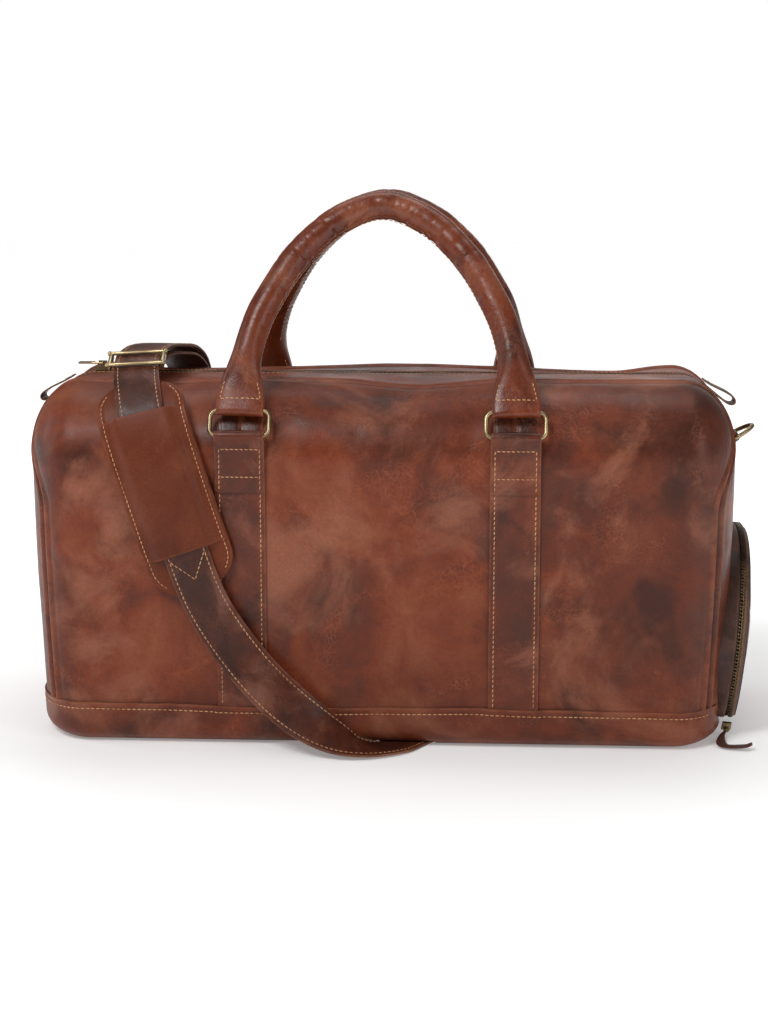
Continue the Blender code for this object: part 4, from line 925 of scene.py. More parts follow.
def make_end_panel(hand, side_x):
    """The end of the bag and the strip over its corner up to the mouth, with the slot for the zip."""
    stations = strip_stations()
    verts, wear, shade = [], [], []
    for kind, value in stations:
        width = strip_width(kind, value)
        half = across_shares(width)
        top = 1.0 if kind == "top" else smooth((value - SHOULDER) / TOP_ROUND) ** 2
        for share in [-s for s in reversed(half)] + half:
            place = strip_place(side_x, kind, value, share)
            edge = (1 - abs(share)) * width
            normal = UP if kind == "top" else outward(*place)
            zipped = in_zip_stretch(place)
            wave = rough(place, 9, 7 + side_x) * 0.0016 + rough(place, 21, 3 + side_x) * 0.0006
            wave *= smooth(edge / 0.02) * (1 - zipped * bump(place.y, 0.012))
            if side_x > 0 and math.hypot(place.y, place.z - DOOR_HEIGHT) < DOOR_RADIUS + 0.014:
                wave *= 0.3
            moved = place + normal * (min(0.0, wave) + strip_relief(place, edge))
            moved.z -= top_dip(place.x, place.y) * top * smooth(abs(place.y) / CORE_Y)
            verts.append(moved)
            wear.append(0.5 * seam_wear(edge) + zipped * zip_wear(place))
            # painted shade along the valley of the seam
            shade.append(seam_painted_shade(edge))
    columns = 2 * len(half)

    def in_slot(face):
        return face[0] % columns == len(half) - 1 and all(
            abs(verts[i].x) < ZIP_END + 0.001 and verts[i].z > SHOULDER for i in face)

    faces = [face for face in grid_faces(len(stations), columns) if not in_slot(face)]
    if side_x > 0:
        faces = without_door(verts, faces, DOOR_RADIUS - 0.0035)
    verts, faces, values = used_only(verts, faces, {"wear": wear, "shade": shade})
    name = f"{hand}_end_panel"
    obj = add_piece(name, verts, faces, BODY, "bag", "bag_leather", [name], values)
    orient(obj, Vector((side_x, 0, 0)), Vector((side_x * HALF_LENGTH, 0, 0.2)))
    thicken(obj, PANEL_THICK, EDGE, SUEDE)
    lines = []
    for sign in (-1, 1):
        points = [strip_place(side_x, kind, value, sign * ZIP_SEAM / strip_width(kind, value))
                  for kind, value in stations if kind == "top" or value > SHOULDER]
        points = [p for p in points if abs(p.x) < ZIP_END + 0.004]
        lines.append((points, [outward(*p) if abs(p.x) > CORE_X else UP for p in points]))
    stitches(f"{hand}_zip_end_stitching", lines, "bag")


# ---------------------------------------------------------------- the base
STRAP_LOW = (Vector((0.0250, -0.1100, 0)), Vector((0.1630, 0.1352, 0)))   # the strap's line under the bag


def base_edge(x, side):
    """Height of the base panel's cut edge, which wanders a little."""
    return BASE_WRAP + 0.0012 * rough((x, side, 0), 16, 9.0) + 0.0008 * math.sin(x * 21)


def strap_hollow(place):
    """How far the strap presses into the underside."""
    along = (STRAP_LOW[1] - STRAP_LOW[0]).normalized()
    offset = Vector((place.x, place.y, 0)) - STRAP_LOW[0]
    return 0.0036 * (1 - smooth((abs(offset.cross(along).z) - 0.0205) / 0.003))


def over_band(place):
    """1 where the base panel covers the lower end of a band."""
    return (smooth((BAND_HALF + 0.006 - abs(abs(place.x) - BAND_X)) / 0.006)
            * smooth((abs(place.y) - 0.11) / 0.01))


def base_loop(z):
    return outline_loop(z, z, 0.0, 16, 110, 24)


def make_base():
    """The base panel, wrapped up the sides and standing proud of the panels and the ends of the bands."""
    heights = [0.0, 0.0008, 0.0022, 0.0045, 0.0075, 0.011, 0.0145, 0.018, 0.0215, 0.025, 0.0275, 0.0295, 0.0310,
               0.0322, 0.0332, BASE_WRAP]
    shrinks = (0.16, 0.07, 0.03, 0.012, 0.004)
    foot = base_loop(0.0)
    verts = [Vector((p.x * (1 - shrink * 1.2), p.y * (1 - shrink * 4.4), 0)) for shrink in shrinks for p in foot]
    for place in verts:
        place.z = strap_hollow(place) + 0.0002
    wear = [0.3] * len(verts)
    for z in heights:
        share = z / BASE_WRAP
        for p in base_loop(z):
            edge = base_edge(p.x, 1 if p.y >= 0 else -1)
            height = z * edge / BASE_WRAP
            normal = outward(*p)
            flat = Vector((normal.x, normal.y, 0)).normalized()
            proud = 0.0018 * smooth(share / 0.25) + 0.0024 * over_band(p) * smooth((share - 0.35) / 0.6)
            seam = 0.0005 * bump(height - (edge - 0.0052), 0.0012)
            wrinkle = 0.0007 * rough(p, 30, 4) * smooth(share / 0.3) - seam
            if p.x > 0.27 and share > 0.4:      # flatter below the door of the shoe compartment
                wrinkle -= 0.0026 * smooth((0.100 - abs(p.y)) / 0.01)
            place = Vector((p.x, p.y, height)) + flat * (proud + wrinkle)
            if z == 0:
                place.z = strap_hollow(p) + 0.0002
            elif z < 0.004:
                place.z = max(place.z, strap_hollow(p))
            verts.append(place)
            wear.append(0.75 * bump(edge - height, 0.0016)
                        + 0.5 * bump(z - 0.004, 0.005) * (0.5 + rough(p, 30, 2)))
    columns = len(foot)
    faces = grid_faces(len(shrinks) + len(heights), columns, True)
    faces.append(tuple(reversed(range(columns))))
    faces = without_door(verts, faces, DOOR_RADIUS - 0.0055)
    verts, faces, values = used_only(verts, faces, {"wear": wear})
    obj = add_piece("base_panel", verts, faces, BODY, "bag", "bag_leather", ["base_panel"], values)
    orient(obj, -BACK, Vector((0, -0.125, 0.02)))
    thicken(obj, 0.0026, EDGE, SUEDE)
    lines = []
    for side in (-1, 1):
        row = [p for p in base_loop(0.029) if p.y * side >= 0 and not (p.x > 0.27 and abs(p.y) < 0.106)]
        row.sort(key=lambda p: math.atan2(p.x, p.y * side))
        normals = [outward(*p) for p in row]
        lines.append(([Vector((p.x, p.y, base_edge(p.x, side) - 0.0052)) + n * (0.0016 + 0.0022 * over_band(p))
                       for p, n in zip(row, normals)], normals))
    stitches("base_stitching", lines, "bag", "bag_leather", 0.0044, 0.00045, 0.0003)


# ---------------------------------------------------------------- the mouth and its zip
def zip_side(low, high, side):
    """Teeth and tape of one side of the zip between two places along X: (verts, faces) of each."""
    verts, faces, tape = [], [], []
    count = round((high - low) / 0.0030)
    step = (high - low) / count
    for i in range(count):
        x = low + (i + 0.5 + 0.25 * side) * step
        z, slope = zip_height(x)
        along = Vector((1, 0, slope)).normalized()
        across = Vector((0, -side, 0))
        up = BACK.cross(along)
        up = up if up.z > 0 else -up
        place = Vector((x, side * 0.0012, z)) - up * 0.0006
        turn = Matrix((along, across, up)).transposed().to_4x4()
        rounded_box_into(verts, faces, Matrix.Translation(place) @ turn, (step * 0.56, 0.0036, 0.0020), 0.0004)
    steps = max(2, round((high - low) / 0.004))
    for i in range(steps + 1):
        x = low + (high - low) * i / steps
        z, _ = zip_height(x)
        tape += [Vector((x, side * y, z - drop)) for y, drop in
                 ((0.0003, 0.0013), (0.0024, 0.0012), (0.0048, 0.0016), (0.0085, 0.0032), (0.0120, 0.0034))]
    return (verts, faces), (tape, grid_faces(steps + 1, 5))


def joined(meshes):
    """One list of points and one of faces from several (verts, faces)."""
    verts, faces = [], []
    for points, their_faces in meshes:
        faces += [tuple(i + len(verts) for i in face) for face in their_faces]
        verts += points
    return verts, faces


def zip_height(x):
    """Height and slope of the zip, along the top and over the rounded upper corners."""
    over = (abs(x) - CORE_X) / SIDE_X
    if over <= 0:
        return HEIGHT - 0.0001, 0.0
    root = math.sqrt(max(1e-4, 1 - over ** 2))
    return SHOULDER + TOP_ROUND * root - 0.0001, -math.copysign(1, x) * TOP_ROUND / SIDE_X * over / root


def mouth_halves(face):
    """(hand, low, high, blend) of the halves of the mouth.

    blend names the bag at each half's outer end and the lip at the place FLAP further in.
    """
    for hand, low, high in (("left", -MOUTH, 0.0), ("right", 0.0, MOUTH)):
        outer, inner = (low, low + FLAP) if hand == "left" else (high, high - FLAP)
        yield hand, low, high, ("bag", f"{face}_lip", (outer, 0, HEIGHT), (inner, 0, HEIGHT))


def make_zip():
    for face, side in FACES:
        for hand, low, high, blend in mouth_halves(face):
            teeth, tape = zip_side(low, high, side)
            nodes = [f"{face}_zip_chain"] if hand == "left" else []
            add_piece(f"{face}_{hand}_zip_teeth", *teeth, TEETH, None, "zip", nodes, blend=blend)
            obj = add_piece(f"{face}_{hand}_zip_tape", *tape, TAPE, None, "zip", blend=blend)
            orient(obj, UP, Vector((low, 0, HEIGHT)))
            thicken(obj, 0.0008)
    for hand, low, high in (("left", -ZIP_END, -MOUTH), ("right", MOUTH, ZIP_END)):
        teeth, tapes = zip(*(zip_side(low, high, side) for side in (-1, 1)))
        add_piece(f"{hand}_zip_end_teeth", *joined(teeth), TEETH, "bag", "zip", [f"{hand}_zip_end"])
        obj = add_piece(f"{hand}_zip_end_tape", *joined(tapes), TAPE, "bag", "zip")
        fix_normals(obj, closed=False)
        orient(obj, UP, Vector((low, 0.002, HEIGHT)))
        thicken(obj, 0.0008)


def make_lips():
    """The two flaps of the mouth, each in two halves."""
    shares_across = across_shares(CORE_Y)
    steps = 38
    for face, side in FACES:
        for hand, low, high, blend in mouth_halves(face):
            verts, wear, shade = [], [], []
            for i in range(steps + 1):
                x = low + (high - low) * i / steps
                for share in shares_across:
                    place = Vector((x, side * share * CORE_Y, HEIGHT))
                    edge = (1 - share) * CORE_Y
                    wave = rough(place, 9, 8.0) * 0.0016 + rough(place, 21, 4.0) * 0.0006
                    wave *= smooth(edge / 0.02) * (1 - bump(place.y, 0.012)) * smooth((MOUTH - abs(x)) / 0.03)
                    moved = place + UP * (min(0.0, wave) + strip_relief(place, edge))
                    moved.z -= top_dip(x, side) * smooth(share)
                    verts.append(moved)
                    wear.append(0.5 * seam_wear(edge) + zip_wear(place))
                    # painted shade along the valley of the seam
                    shade.append(seam_painted_shade(edge))
            obj = add_piece(f"{face}_{hand}_lip", verts, grid_faces(steps + 1, len(shares_across)), BODY, None,
                            "bag_leather", [f"{face}_lip"] if hand == "left" else [],
                            {"wear": wear, "shade": shade}, blend)
            orient(obj, UP, Vector((low, side * 0.03, HEIGHT)))
            thicken(obj, PANEL_THICK, EDGE, SUEDE)
            xs = [low + (high - low) * i / 40 for i in range(41)]
            points = [Vector((x, side * ZIP_SEAM, HEIGHT - top_dip(x, side) * smooth(ZIP_SEAM / CORE_Y)))
                      for x in xs]
            stitches(f"{face}_{hand}_lip_stitching", [(points, [UP] * 41)], None, blend=blend)
        make_allowance(face, side)


def make_allowance(face, side):
    """The turned-in edge of the panel under the lip's seam, which shows when the lip stands open."""
    verts, steps = [], 76
    for i in range(steps + 1):
        x = -MOUTH + 2 * MOUTH * i / steps
        low = HEIGHT - top_dip(x, side) - 0.0030
        verts += [Vector((x, side * (CORE_Y + y), low - drop)) for y, drop in
                  ((0.0012, 0.0002), (-0.003, 0.0006), (-0.010, 0.0011), (-0.021, 0.0014))]
    obj = add_piece(f"{face}_seam_allowance", verts, grid_faces(steps + 1, 4), BODY, "bag", "bag_leather", (),
                    {"wear": [0.2] * len(verts)})
    orient(obj, UP, Vector((0, side * 0.05, HEIGHT)))
    thicken(obj, 0.0012, EDGE)


# ---------------------------------------------------------------- bands, rings and handles
TAIL_LOW, TAIL_STITCH = 0.2170, 0.2300   # the lower end of each band's folded tail, and its first cross seam
BAND_Y = 0.1252                          # the back of a band
BAND_FRONT, TAIL_FRONT = BAND_Y + 0.0023, BAND_Y + 0.0046
TAB_HALF, TAB_THICK = 0.0200, 0.0046     # a handle's flat tab, before it narrows into the grip


def strip_sections(line, half, thick, columns, crown, groove):
    """Sections of a leather strip along a line of (centre, outward normal, across) frames."""
    sections, wears = [], []
    for centre, normal, across in line:
        section = []
        for i in range(columns + 1):
            u = -1 + 2 * i / columns
            u = math.copysign(abs(u) ** 0.8, u)
            edge = half * (1 - abs(u))
            place = centre + across * (u * half)
            top = thick + crown * (1 - u * u) - 0.0006 * bump(edge, 0.0007) - 0.0004 * bump(edge - groove, 0.0009)
            section.append(place + normal * (top + 0.0003 * rough(place, 60, 2)))
            wears.append(0.8 * bump(edge, 0.0010) + 0.25 * bump(edge - groove, 0.0012))
        for u in (0.995, -0.995):
            section.append(centre + across * (u * half))
            wears.append(0.9)
        sections.append(section)
    return sections, wears


def add_strip(name, line, half, thick, finish, nodes=(), groove=0.0041, crown=0.0004, columns=20,
              slot="trim_leather"):
    """A strip of leather with a stitching groove along each side and cut edges."""
    verts, faces = [], []
    sections, wears = strip_sections(line, half, thick, columns, crown, groove)
    swept(verts, faces, sections)
    obj = add_piece(name, verts, faces, [finish, EDGE], "bag", slot, nodes, {"wear": wears})
    count = len(sections[0])
    under = {count - 1, count - 2}
    for polygon in obj.data.polygons:
        places = {v % count for v in polygon.vertices}
        if len(polygon.vertices) > 4 or (places & under and not places <= under):
            polygon.material_index = 1
    fix_normals(obj)
    return obj


def fold_over(centre, out, across, start, end):
    """Frames of a strip that turns round a bar, between two angles in degrees from out towards up."""
    frames = []
    for i in range(1, 19):
        angle = math.radians(start + (end - start) * i / 18)
        turned = out * math.cos(angle) + UP * math.sin(angle)
        frames.append((centre + turned * (LOOP - 0.0022), turned, across))
    return frames


def make_bands():
    """Each band runs up from under the base panel, folds over its ring's bar and is sewn down on itself."""
    for face, side in FACES:
        out = Vector((0, side, 0))
        across = -side * RIGHT
        for hand, x in BANDS:
            name = f"{face}_{hand}_band"
            zs = [0.029 + (TAIL_LOW + 0.012 - 0.029) * i / 40 for i in range(41)]
            line = [(Vector((x, side * (BAND_Y + 0.0003 * rough((x, z, side), 30)), z)), out, across) for z in zs]
            add_strip(name, line, BAND_HALF - 0.0002, 0.0024, TRIM, [name])
            centre = Vector((x, side * RING_AXIS[0], RING_AXIS[1]))
            line = [(Vector((x, side * (BAND_FRONT + 0.0004 * (i / 14)),
                             TAIL_LOW + (RING_AXIS[1] - 0.009 - TAIL_LOW) * i / 14)), out, across)
                    for i in range(15)]
            line += fold_over(centre, out, across, -35, 215)
            line.append((centre + Vector((0, -side * 0.0030, -0.008)), -out, across))
            add_strip(f"{name}_fold", line, BAND_HALF - 0.0004, 0.0021, TRIM)
            for end, shift in (("left", -0.0094), ("right", 0.0094)):
                line = []
                for i in range(13):
                    z = 0.2500 + 0.0026 * i
                    level = Vector((x + shift, side * (CORE_Y + plan(z)[2]), z))
                    normal = outward(*level)
                    line.append((level + normal * 0.0002, normal, across))
                add_strip(f"{face}_{hand}_ring_backing_{end}", line, 0.0093, 0.0011, TRIM, (), 0.0020)
            seams = []
            for sign in (-1, 1):
                xs = x + sign * (BAND_HALF - 0.0041)
                for y, zs in ((BAND_FRONT, (0.036, 0.1, 0.16, TAIL_LOW - 0.001)),
                              (TAIL_FRONT, (TAIL_LOW + 0.002, 0.235, 0.2535))):
                    seams.append(([Vector((xs, side * y, z)) for z in zs], [out] * len(zs)))
            for z in (TAIL_STITCH, 0.2530):
                seams.append(([Vector((x + u * (BAND_HALF - 0.0050),
                                       side * (BAND_Y + 0.0051 + 0.0003 * (1 - u * u)), z))
                               for u in (-1, -0.5, 0, 0.5, 1)], [out] * 5))
            stitches(f"{name}_stitching", seams, "bag", "trim_leather", 0.0042, 0.00045, 0.0002, 0.12)


def leaning(side, x, rise):
    """A place in the plane of a handle ring, which leans inwards over the bag."""
    return Vector((x, side * (RING_AXIS[0] - rise * math.sin(RING_LEAN)),
                   RING_AXIS[1] + rise * math.cos(RING_LEAN)))


def make_rings():
    outline = rounded_rectangle(RING_HALF, RING_HEIGHT / 2, 0.0062, 7)
    for face, side in FACES:
        for hand, x in BANDS:
            name = f"{face}_{hand}_ring"
            verts, faces = [], []
            points = [leaning(side, x + u, RING_HEIGHT / 2 + v) for u, v in outline]
            wire_into(verts, faces, dense(points, 0.004), WIRE)
            fix_normals(add_piece(name, verts, faces, BRASS, f"{face}_rings", "antique_brass", [name]))


def handle_frames(side, per_span=34):
    """(place, inward direction, face direction, length so far) along a handle from left bar to right bar."""
    leg = [(1, 0), (0.99, 0.17), (0.93, 0.37), (0.83, 0.53), (0.635, 0.737), (0.35, 0.916)]
    arc = [(-x, v) for x, v in leg] + [(0, 1)] + [(x, v) for x, v in reversed(leg)]
    foot = leaning(side, 0, RING_HEIGHT)
    up = Vector((0, -side * math.sin(HANDLE_LEAN), math.cos(HANDLE_LEAN)))
    route = catmull([foot + RIGHT * (x * BAND_X) + up * (v * HANDLE_RISE) for x, v in arc], per_span)
    face = up.cross(RIGHT) * side
    return [(place, heading(route, i).cross(face).normalized() * -side, face, length)
            for i, (place, length) in enumerate(zip(route, run_lengths(route)))]


def handle_shape(reach):
    """(share of the way from tab to grip, half width, half thickness, squareness) at a distance from an end."""
    share = smooth((reach - 0.004) / TAB_LENGTH)
    return (share, TAB_HALF + (GRIP - TAB_HALF) * share, TAB_THICK + (GRIP - TAB_THICK) * share,
            3.2 - 1.2 * smooth(reach / (TAB_LENGTH * 0.7)))


def handle_section(frame, total, side, count=48):
    """Section of the handle: a flat tab at either end and a round grip between, with its seam on the inside."""
    place, inward, face, length = frame
    reach = min(length, total - length)
    share, wide, thick, power = handle_shape(reach)
    bend = smooth((reach - 0.10) / 0.05)
    sewn = smooth((reach - 0.03) / 0.02)
    section, wear = [], []
    for k in range(count):
        angle = 2 * math.pi * k / count
        c, s = math.cos(angle), math.sin(angle)
        u = math.copysign(abs(c) ** (2 / power), c) * wide
        v = math.copysign(abs(s) ** (2 / power), s) * thick
        groove = 0.0012 * bump(angle if angle < math.pi else angle - 2 * math.pi, 0.10) * sewn
        lip = (bump(angle - 0.30, 0.16) + bump(2 * math.pi - angle - 0.30, 0.16)) * sewn
        inner_side = 0.35 + 0.65 * smooth(0.5 + 0.5 * c)
        folds = creased((length, c * 0.006 + side, s * 0.006), 46, 4.0 + side, 0.11) * 0.0009 * (0.30 + 0.70 * bend)
        folds += creased((length * 1.3, c * 0.005, s * 0.005 + side), 80, 8.0, 0.14) * 0.00045 * (0.2 + 0.8 * bend)
        swell = 0.0005 * rough((length, c * 0.01, s * 0.01 + side), 38, 3)
        size = swell - groove + 0.0006 * lip - folds * inner_side * smooth((reach - 0.012) / 0.03)
        section.append(place + inward * (u + c * size) + face * (v + s * size))
        wear.append(min(1.0, 0.35 * bend * max(0.0, rough((length, c, s), 30, 5))
                        + 0.7 * (1 - share) * bump(abs(u) - wide, 0.0016) + 0.2 * lip))
    return section, wear


def handle_cap(frames, total, side):
    """Sections that round off the end of a handle's tab, from its very end inwards."""
    first, inward, face, _ = frames[0]
    down = (first - frames[1][0]).normalized()
    base, wear = handle_section((first, inward, face, 0.0), total, side)
    caps = []
    for angle in (math.radians(a) for a in (88, 70, 52, 35, 18)):
        caps.append(([p + down * (TAB_THICK * math.sin(angle)) - face * ((p - first).dot(face) * (1 - math.cos(angle)))
                      for p in base], wear))
    return caps


def tab_seams(frames):
    """Stitching round one tab of a handle, on both of its faces."""
    start = frames[0][3]
    edge = []
    for place, inward, face, length in frames:
        reach = abs(length - start)
        if 0.0085 <= reach <= 0.0245:
            _, wide, thick, power = handle_shape(reach)
            w = wide - 0.0032 - 0.0009 * (reach - 0.0085) / 0.0160
            edge.append((place, inward, face, w, thick * (1 - (w / wide) ** power) ** (1 / power)))
    for sign in (1, -1):
        lines = [([p + inward * (hand * w) + face * (sign * v) for p, inward, face, w, v in edge],
                  [(face * sign + inward * (hand * 0.35)).normalized() for p, inward, face, w, v in edge])
                 for hand in (-1, 1)]
        place, inward, face, w, v = edge[0]
        row = [-w + 2 * w * i / 8 for i in range(9)]
        height = TAB_THICK + 0.0007
        lines.append(([place + inward * u + face * (sign * (v + (height - v) * smooth((w - abs(u)) / 0.008)))
                       for u in row], [face * sign] * 9))
        yield lines


def make_handles():
    for name, side in FACES:
        frames = handle_frames(side)
        total = frames[-1][3]
        everything = handle_cap(frames, total, side)
        everything += [handle_section(f, total, side) for f in frames]
        everything += reversed(handle_cap(frames[::-1], total, side))
        verts, faces = [], []
        swept(verts, faces, [section for section, _ in everything])
        fix_normals(add_piece(f"{name}_handle", verts, faces, HANDLE, f"{name}_handle", "trim_leather",
                              [f"{name}_handle"], {"wear": [w for _, wears in everything for w in wears]}))
        both_ends = zip(tab_seams(frames), tab_seams(frames[::-1]))
        lines = [line for pair in both_ends for seams in pair for line in seams]
        stitches(f"{name}_handle_tab_stitching", lines, f"{name}_handle", "trim_leather", 0.0040, 0.00045,
                 0.0001, 0.1)
        lines = []
        grip = [f for f in frames if min(f[3], total - f[3]) >= TAB_LENGTH * 0.9]
        for turn in (-0.26, -0.86):
            normals = [f[1] * math.cos(turn) + f[2] * math.sin(turn) for f in grip]
            lines.append(([f[0] + n * (GRIP + 0.0003) for f, n in zip(grip, normals)], normals))
        stitches(f"{name}_handle_seam_stitching", lines, f"{name}_handle", "trim_leather", 0.0046, 0.00045,
                 0.0001, 0.3)


# ---------------------------------------------------------------- rings and tabs at the ends
D_HEIGHT = 0.249
D_AXIS = HALF_LENGTH + 0.0003 + LOOP


def make_end_rings():
    """A D ring at each end, hanging or standing away from the folded leather that holds it."""
    for hand, side, lift in (("left", -1, math.radians(-62)), ("right", 1, math.radians(30))):
        centre = Vector((side * D_AXIS, 0, D_HEIGHT))
        out = RIGHT * side
        line = [(Vector((side * (HALF_LENGTH + 0.0003 + 0.0008 * smooth(i / 7)), 0, D_HEIGHT - 0.030 + 0.024 * i / 7)),
                 out, BACK) for i in range(8)]
        line += fold_over(centre, out, BACK, -38, 208)
        line.append((Vector((side * (HALF_LENGTH + 0.0022), 0, D_HEIGHT - 0.010)), -out, BACK))
        add_strip(f"{hand}_chape", line, 0.0130, 0.0022, DARK, [f"{hand}_chape"], 0.0030, 0.0002)
        rows = [[(0.0028, y, z) for z in (-0.028, -0.009)] for y in (-0.0096, 0.0096)]
        rows += [[(0.0029, y, z) for y in (-0.0085, 0.0085)] for z in (-0.0275, -0.0095)]
        lines = [([Vector((side * (HALF_LENGTH + x), y, D_HEIGHT + z)) for x, y, z in row], [out, out])
                 for row in rows]
        stitches(f"{hand}_chape_stitching", lines, "bag", "trim_leather", 0.0036, 0.0004)
        half = 0.016
        bow = [(0.019 * math.sin(math.radians(a)), half * math.cos(math.radians(a))) for a in range(12, 169, 6)]
        outline = [(0, half - 0.001)] + bow + [(0, 0.001 - half)]
        away = out * math.cos(lift) + UP * math.sin(lift)
        verts, faces = [], []
        wire_into(verts, faces, dense([centre + away * u + BACK * v for u, v in outline], 0.003), WIRE)
        name = f"{hand}_d_ring"
        fix_normals(add_piece(name, verts, faces, BRASS, name, "antique_brass", [name]))


def make_zip_tabs():
    """A strip of leather folded into a loop at each end of the zip."""
    share = (ZIP_END - CORE_X) / SIDE_X
    root = math.sqrt(1 - share * share)
    slope = math.atan2(-TOP_ROUND * share, SIDE_X * root)
    loop = [(-0.004, 0.0000), (0.006, 0.0001), (0.014, -0.0003), (0.022, -0.0009), (0.029, -0.0011),
            (0.0325, 0.0000), (0.0338, 0.0019), (0.0325, 0.0040), (0.029, 0.0049), (0.022, 0.0046),
            (0.014, 0.0033), (0.007, 0.0023), (0.001, 0.0021)]
    for hand, side in (("left", -1), ("right", 1)):
        out = Vector((side * math.cos(slope), 0, math.sin(slope)))
        up = Vector((-side * math.sin(slope), 0, math.cos(slope)))
        foot = Vector((side * ZIP_END, 0, SHOULDER + TOP_ROUND * root)) + up * 0.0004
        points = catmull([foot + out * u + up * v for u, v in loop], 5)
        normals = [heading(points, i).cross(BACK).normalized() for i in range(len(points))]
        turn = -1 if normals[0].dot(up) > 0 else 1
        line = [(p, n * turn, BACK) for p, n in zip(points, normals)]
        add_strip(f"{hand}_zip_tab", line, 0.0118, 0.0013, DARK, [f"{hand}_zip_tab"], 0.0026, 0.0001, 14)
        row = [foot + out * 0.0065 + up * 0.0040 + BACK * v for v in (-0.0095, 0, 0.0095)]
        stitches(f"{hand}_zip_tab_stitching", [(row, [up] * 3)], "bag", "trim_leather", 0.0034, 0.0004, 0.0)


# ---------------------------------------------------------------- shoe compartment
STANDOFF = 0.0050                        # the zip's tapes stand off the end of the bag
SLIDER_MIDDLE = STANDOFF + 0.0006 + 0.0020
DOOR_START = SLIDER_MIDDLE + 0.0003


def arch(radius, steps=90):
    """(y, z) points of the arch about the compartment's centre, from one lower corner over to the other."""
    angle = math.asin(-DOOR_CHORD / radius)
    turns = [-angle + (math.pi + 2 * angle) * i / steps for i in range(steps + 1)]
    return [(radius * math.cos(a), radius * math.sin(a)) for a in turns]


def closed_arch(radius, chord_steps=36):
    points = arch(radius)
    (y0, z0), (y1, _) = points[-1], points[0]
    return points + [(y0 + (y1 - y0) * i / chord_steps, z0) for i in range(1, chord_steps)]


def in_frame(x, y, z):
    return DOOR_FRAME @ Vector((x, y, z))


def ring_faces(loops, count):
    """Faces between closed loops, with the last loop filled in."""
    return grid_faces(loops, count, True) + [tuple((loops - 1) * count + k for k in range(count))]


def make_shoe_rim():
    """The leather border round the opening, which stands out a little from the end of the bag."""
    profile = [(-0.012, 0.0), (-0.004, 0.0002), (0.0022, 0.0004), (0.0042, 0.0000), (0.0050, -0.0012),
               (0.0050, -0.0030), (0.0036, -0.0034), (-0.012, -0.0030)]
    outline = closed_arch(DOOR_RADIUS)
    verts, wear = [], []
    for i, (x, grow) in enumerate(profile):
        scale = 1 + grow / DOOR_RADIUS
        verts += [in_frame(x, y * scale, z * scale if z > DOOR_CHORD + 0.001 else z - grow) for y, z in outline]
        wear += [0.4 * bump(i - 3.5, 1.0)] * len(outline)
    count = len(outline)
    faces = [tuple(i % len(verts) for i in face) for face in grid_faces(len(profile) + 1, count, True)]
    obj = add_piece("shoe_rim", verts, faces, DARK, "bag", "trim_leather", ["shoe_rim"], {"wear": wear})
    fix_normals(obj)


def arch_zip(name, x, side_x, body):
    """Teeth along the arch on one side of the shoe zip, and the tape that they are set in."""
    radius = DOOR_RADIUS - 0.0004
    verts, faces = [], []
    points = dense([Vector((0, y, z)) for y, z in arch(radius, 200)], 0.0006, False)
    lengths = run_lengths(points)
    count = round(lengths[-1] / 0.0030)
    j = 0
    for i in range(count):
        j = stretch_at(lengths, (i + 0.5 + 0.25 * side_x) * lengths[-1] / count, j)
        place = points[j]
        along = (points[j + 1] - place).normalized()
        radial = place.normalized()
        turn = Matrix((along, RIGHT * -side_x, radial)).transposed().to_4x4()
        matrix = DOOR_FRAME @ Matrix.Translation(RIGHT * x + place - radial * 0.0006) @ turn
        rounded_box_into(verts, faces, matrix, (0.0017, 0.0032, 0.0018), 0.0003)
    add_piece(f"{name}_teeth", verts, faces, TEETH, body, "zip", [name])
    outline = arch(radius, 120)
    tape = [in_frame(x + side_x * out, y * (1 - drop / radius), z * (1 - drop / radius))
            for out, drop in ((0.0006, 0.0016), (0.0030, 0.0020), (0.0052, 0.0032)) for y, z in outline]
    obj = add_piece(f"{name}_tape", tape, grid_faces(3, len(outline)), TAPE, body, "zip")
    thicken(obj, 0.0008)


def make_door():
    """The domed leather cover, with a dark bound border and a row of stitching inside it."""
    low = DOOR_START + 0.0023
    insets = [0.0, 0.004, 0.012, 0.03, 0.055, 0.075, 0.095, 0.108, 0.118, 0.128, 0.142, 0.16, 0.20, 0.26, 0.34,
              0.44, 0.56, 0.68, 0.80, 0.90, 0.97]     # shares of the way from the outline to the centre
    border = 8                                        # the first loop of the panel inside the binding
    outline = closed_arch(DOOR_RADIUS)
    count = len(outline)

    def dome(share):
        return 0.0105 * (1 - (1 - share) ** 2.6)

    verts, wear = [], []
    for share in insets:
        inset = DOOR_RADIUS * share
        rise = 0.0016 * smooth(share / 0.03) + dome(share)
        rise += 0.0007 * bump(inset - 0.006, 0.0045) - 0.0010 * bump(inset - 0.0118, 0.0010)
        for y, z in [(y * (1 - share), z * (1 - share)) for y, z in outline]:
            sag = 0.0014 * rough((0.3, y, z), 16, 3) - 0.0008 * creased((z, y, 0.2), 22, 5)
            verts.append(in_frame(low + rise + sag * smooth(share / 0.2), y, z))
        wear += [0.5 * bump(inset, 0.0015) + 0.15] * count
    obj = add_piece("shoe_door", verts, ring_faces(len(insets), count), [DARK, BODY], "shoe_door",
                    "bag_leather", ["shoe_door"], {"wear": wear})
    for polygon in obj.data.polygons:
        if min(polygon.vertices) >= count * border:
            polygon.material_index = 1
    orient(obj, RIGHT, Vector((0.32, 0, DOOR_HEIGHT)))
    thicken(obj, 0.0022, EDGE, SUEDE)
    share = 0.0092 / DOOR_RADIUS
    loop = [in_frame(low + 0.0016 + dome(share) + 0.0003, y * (1 - share), z * (1 - share))
            for y, z in outline + outline[:1]]
    out = (DOOR_FRAME.to_3x3() @ RIGHT).normalized()
    stitches("shoe_door_stitching", [(loop, [out] * len(loop))], "shoe_door", "bag_leather")


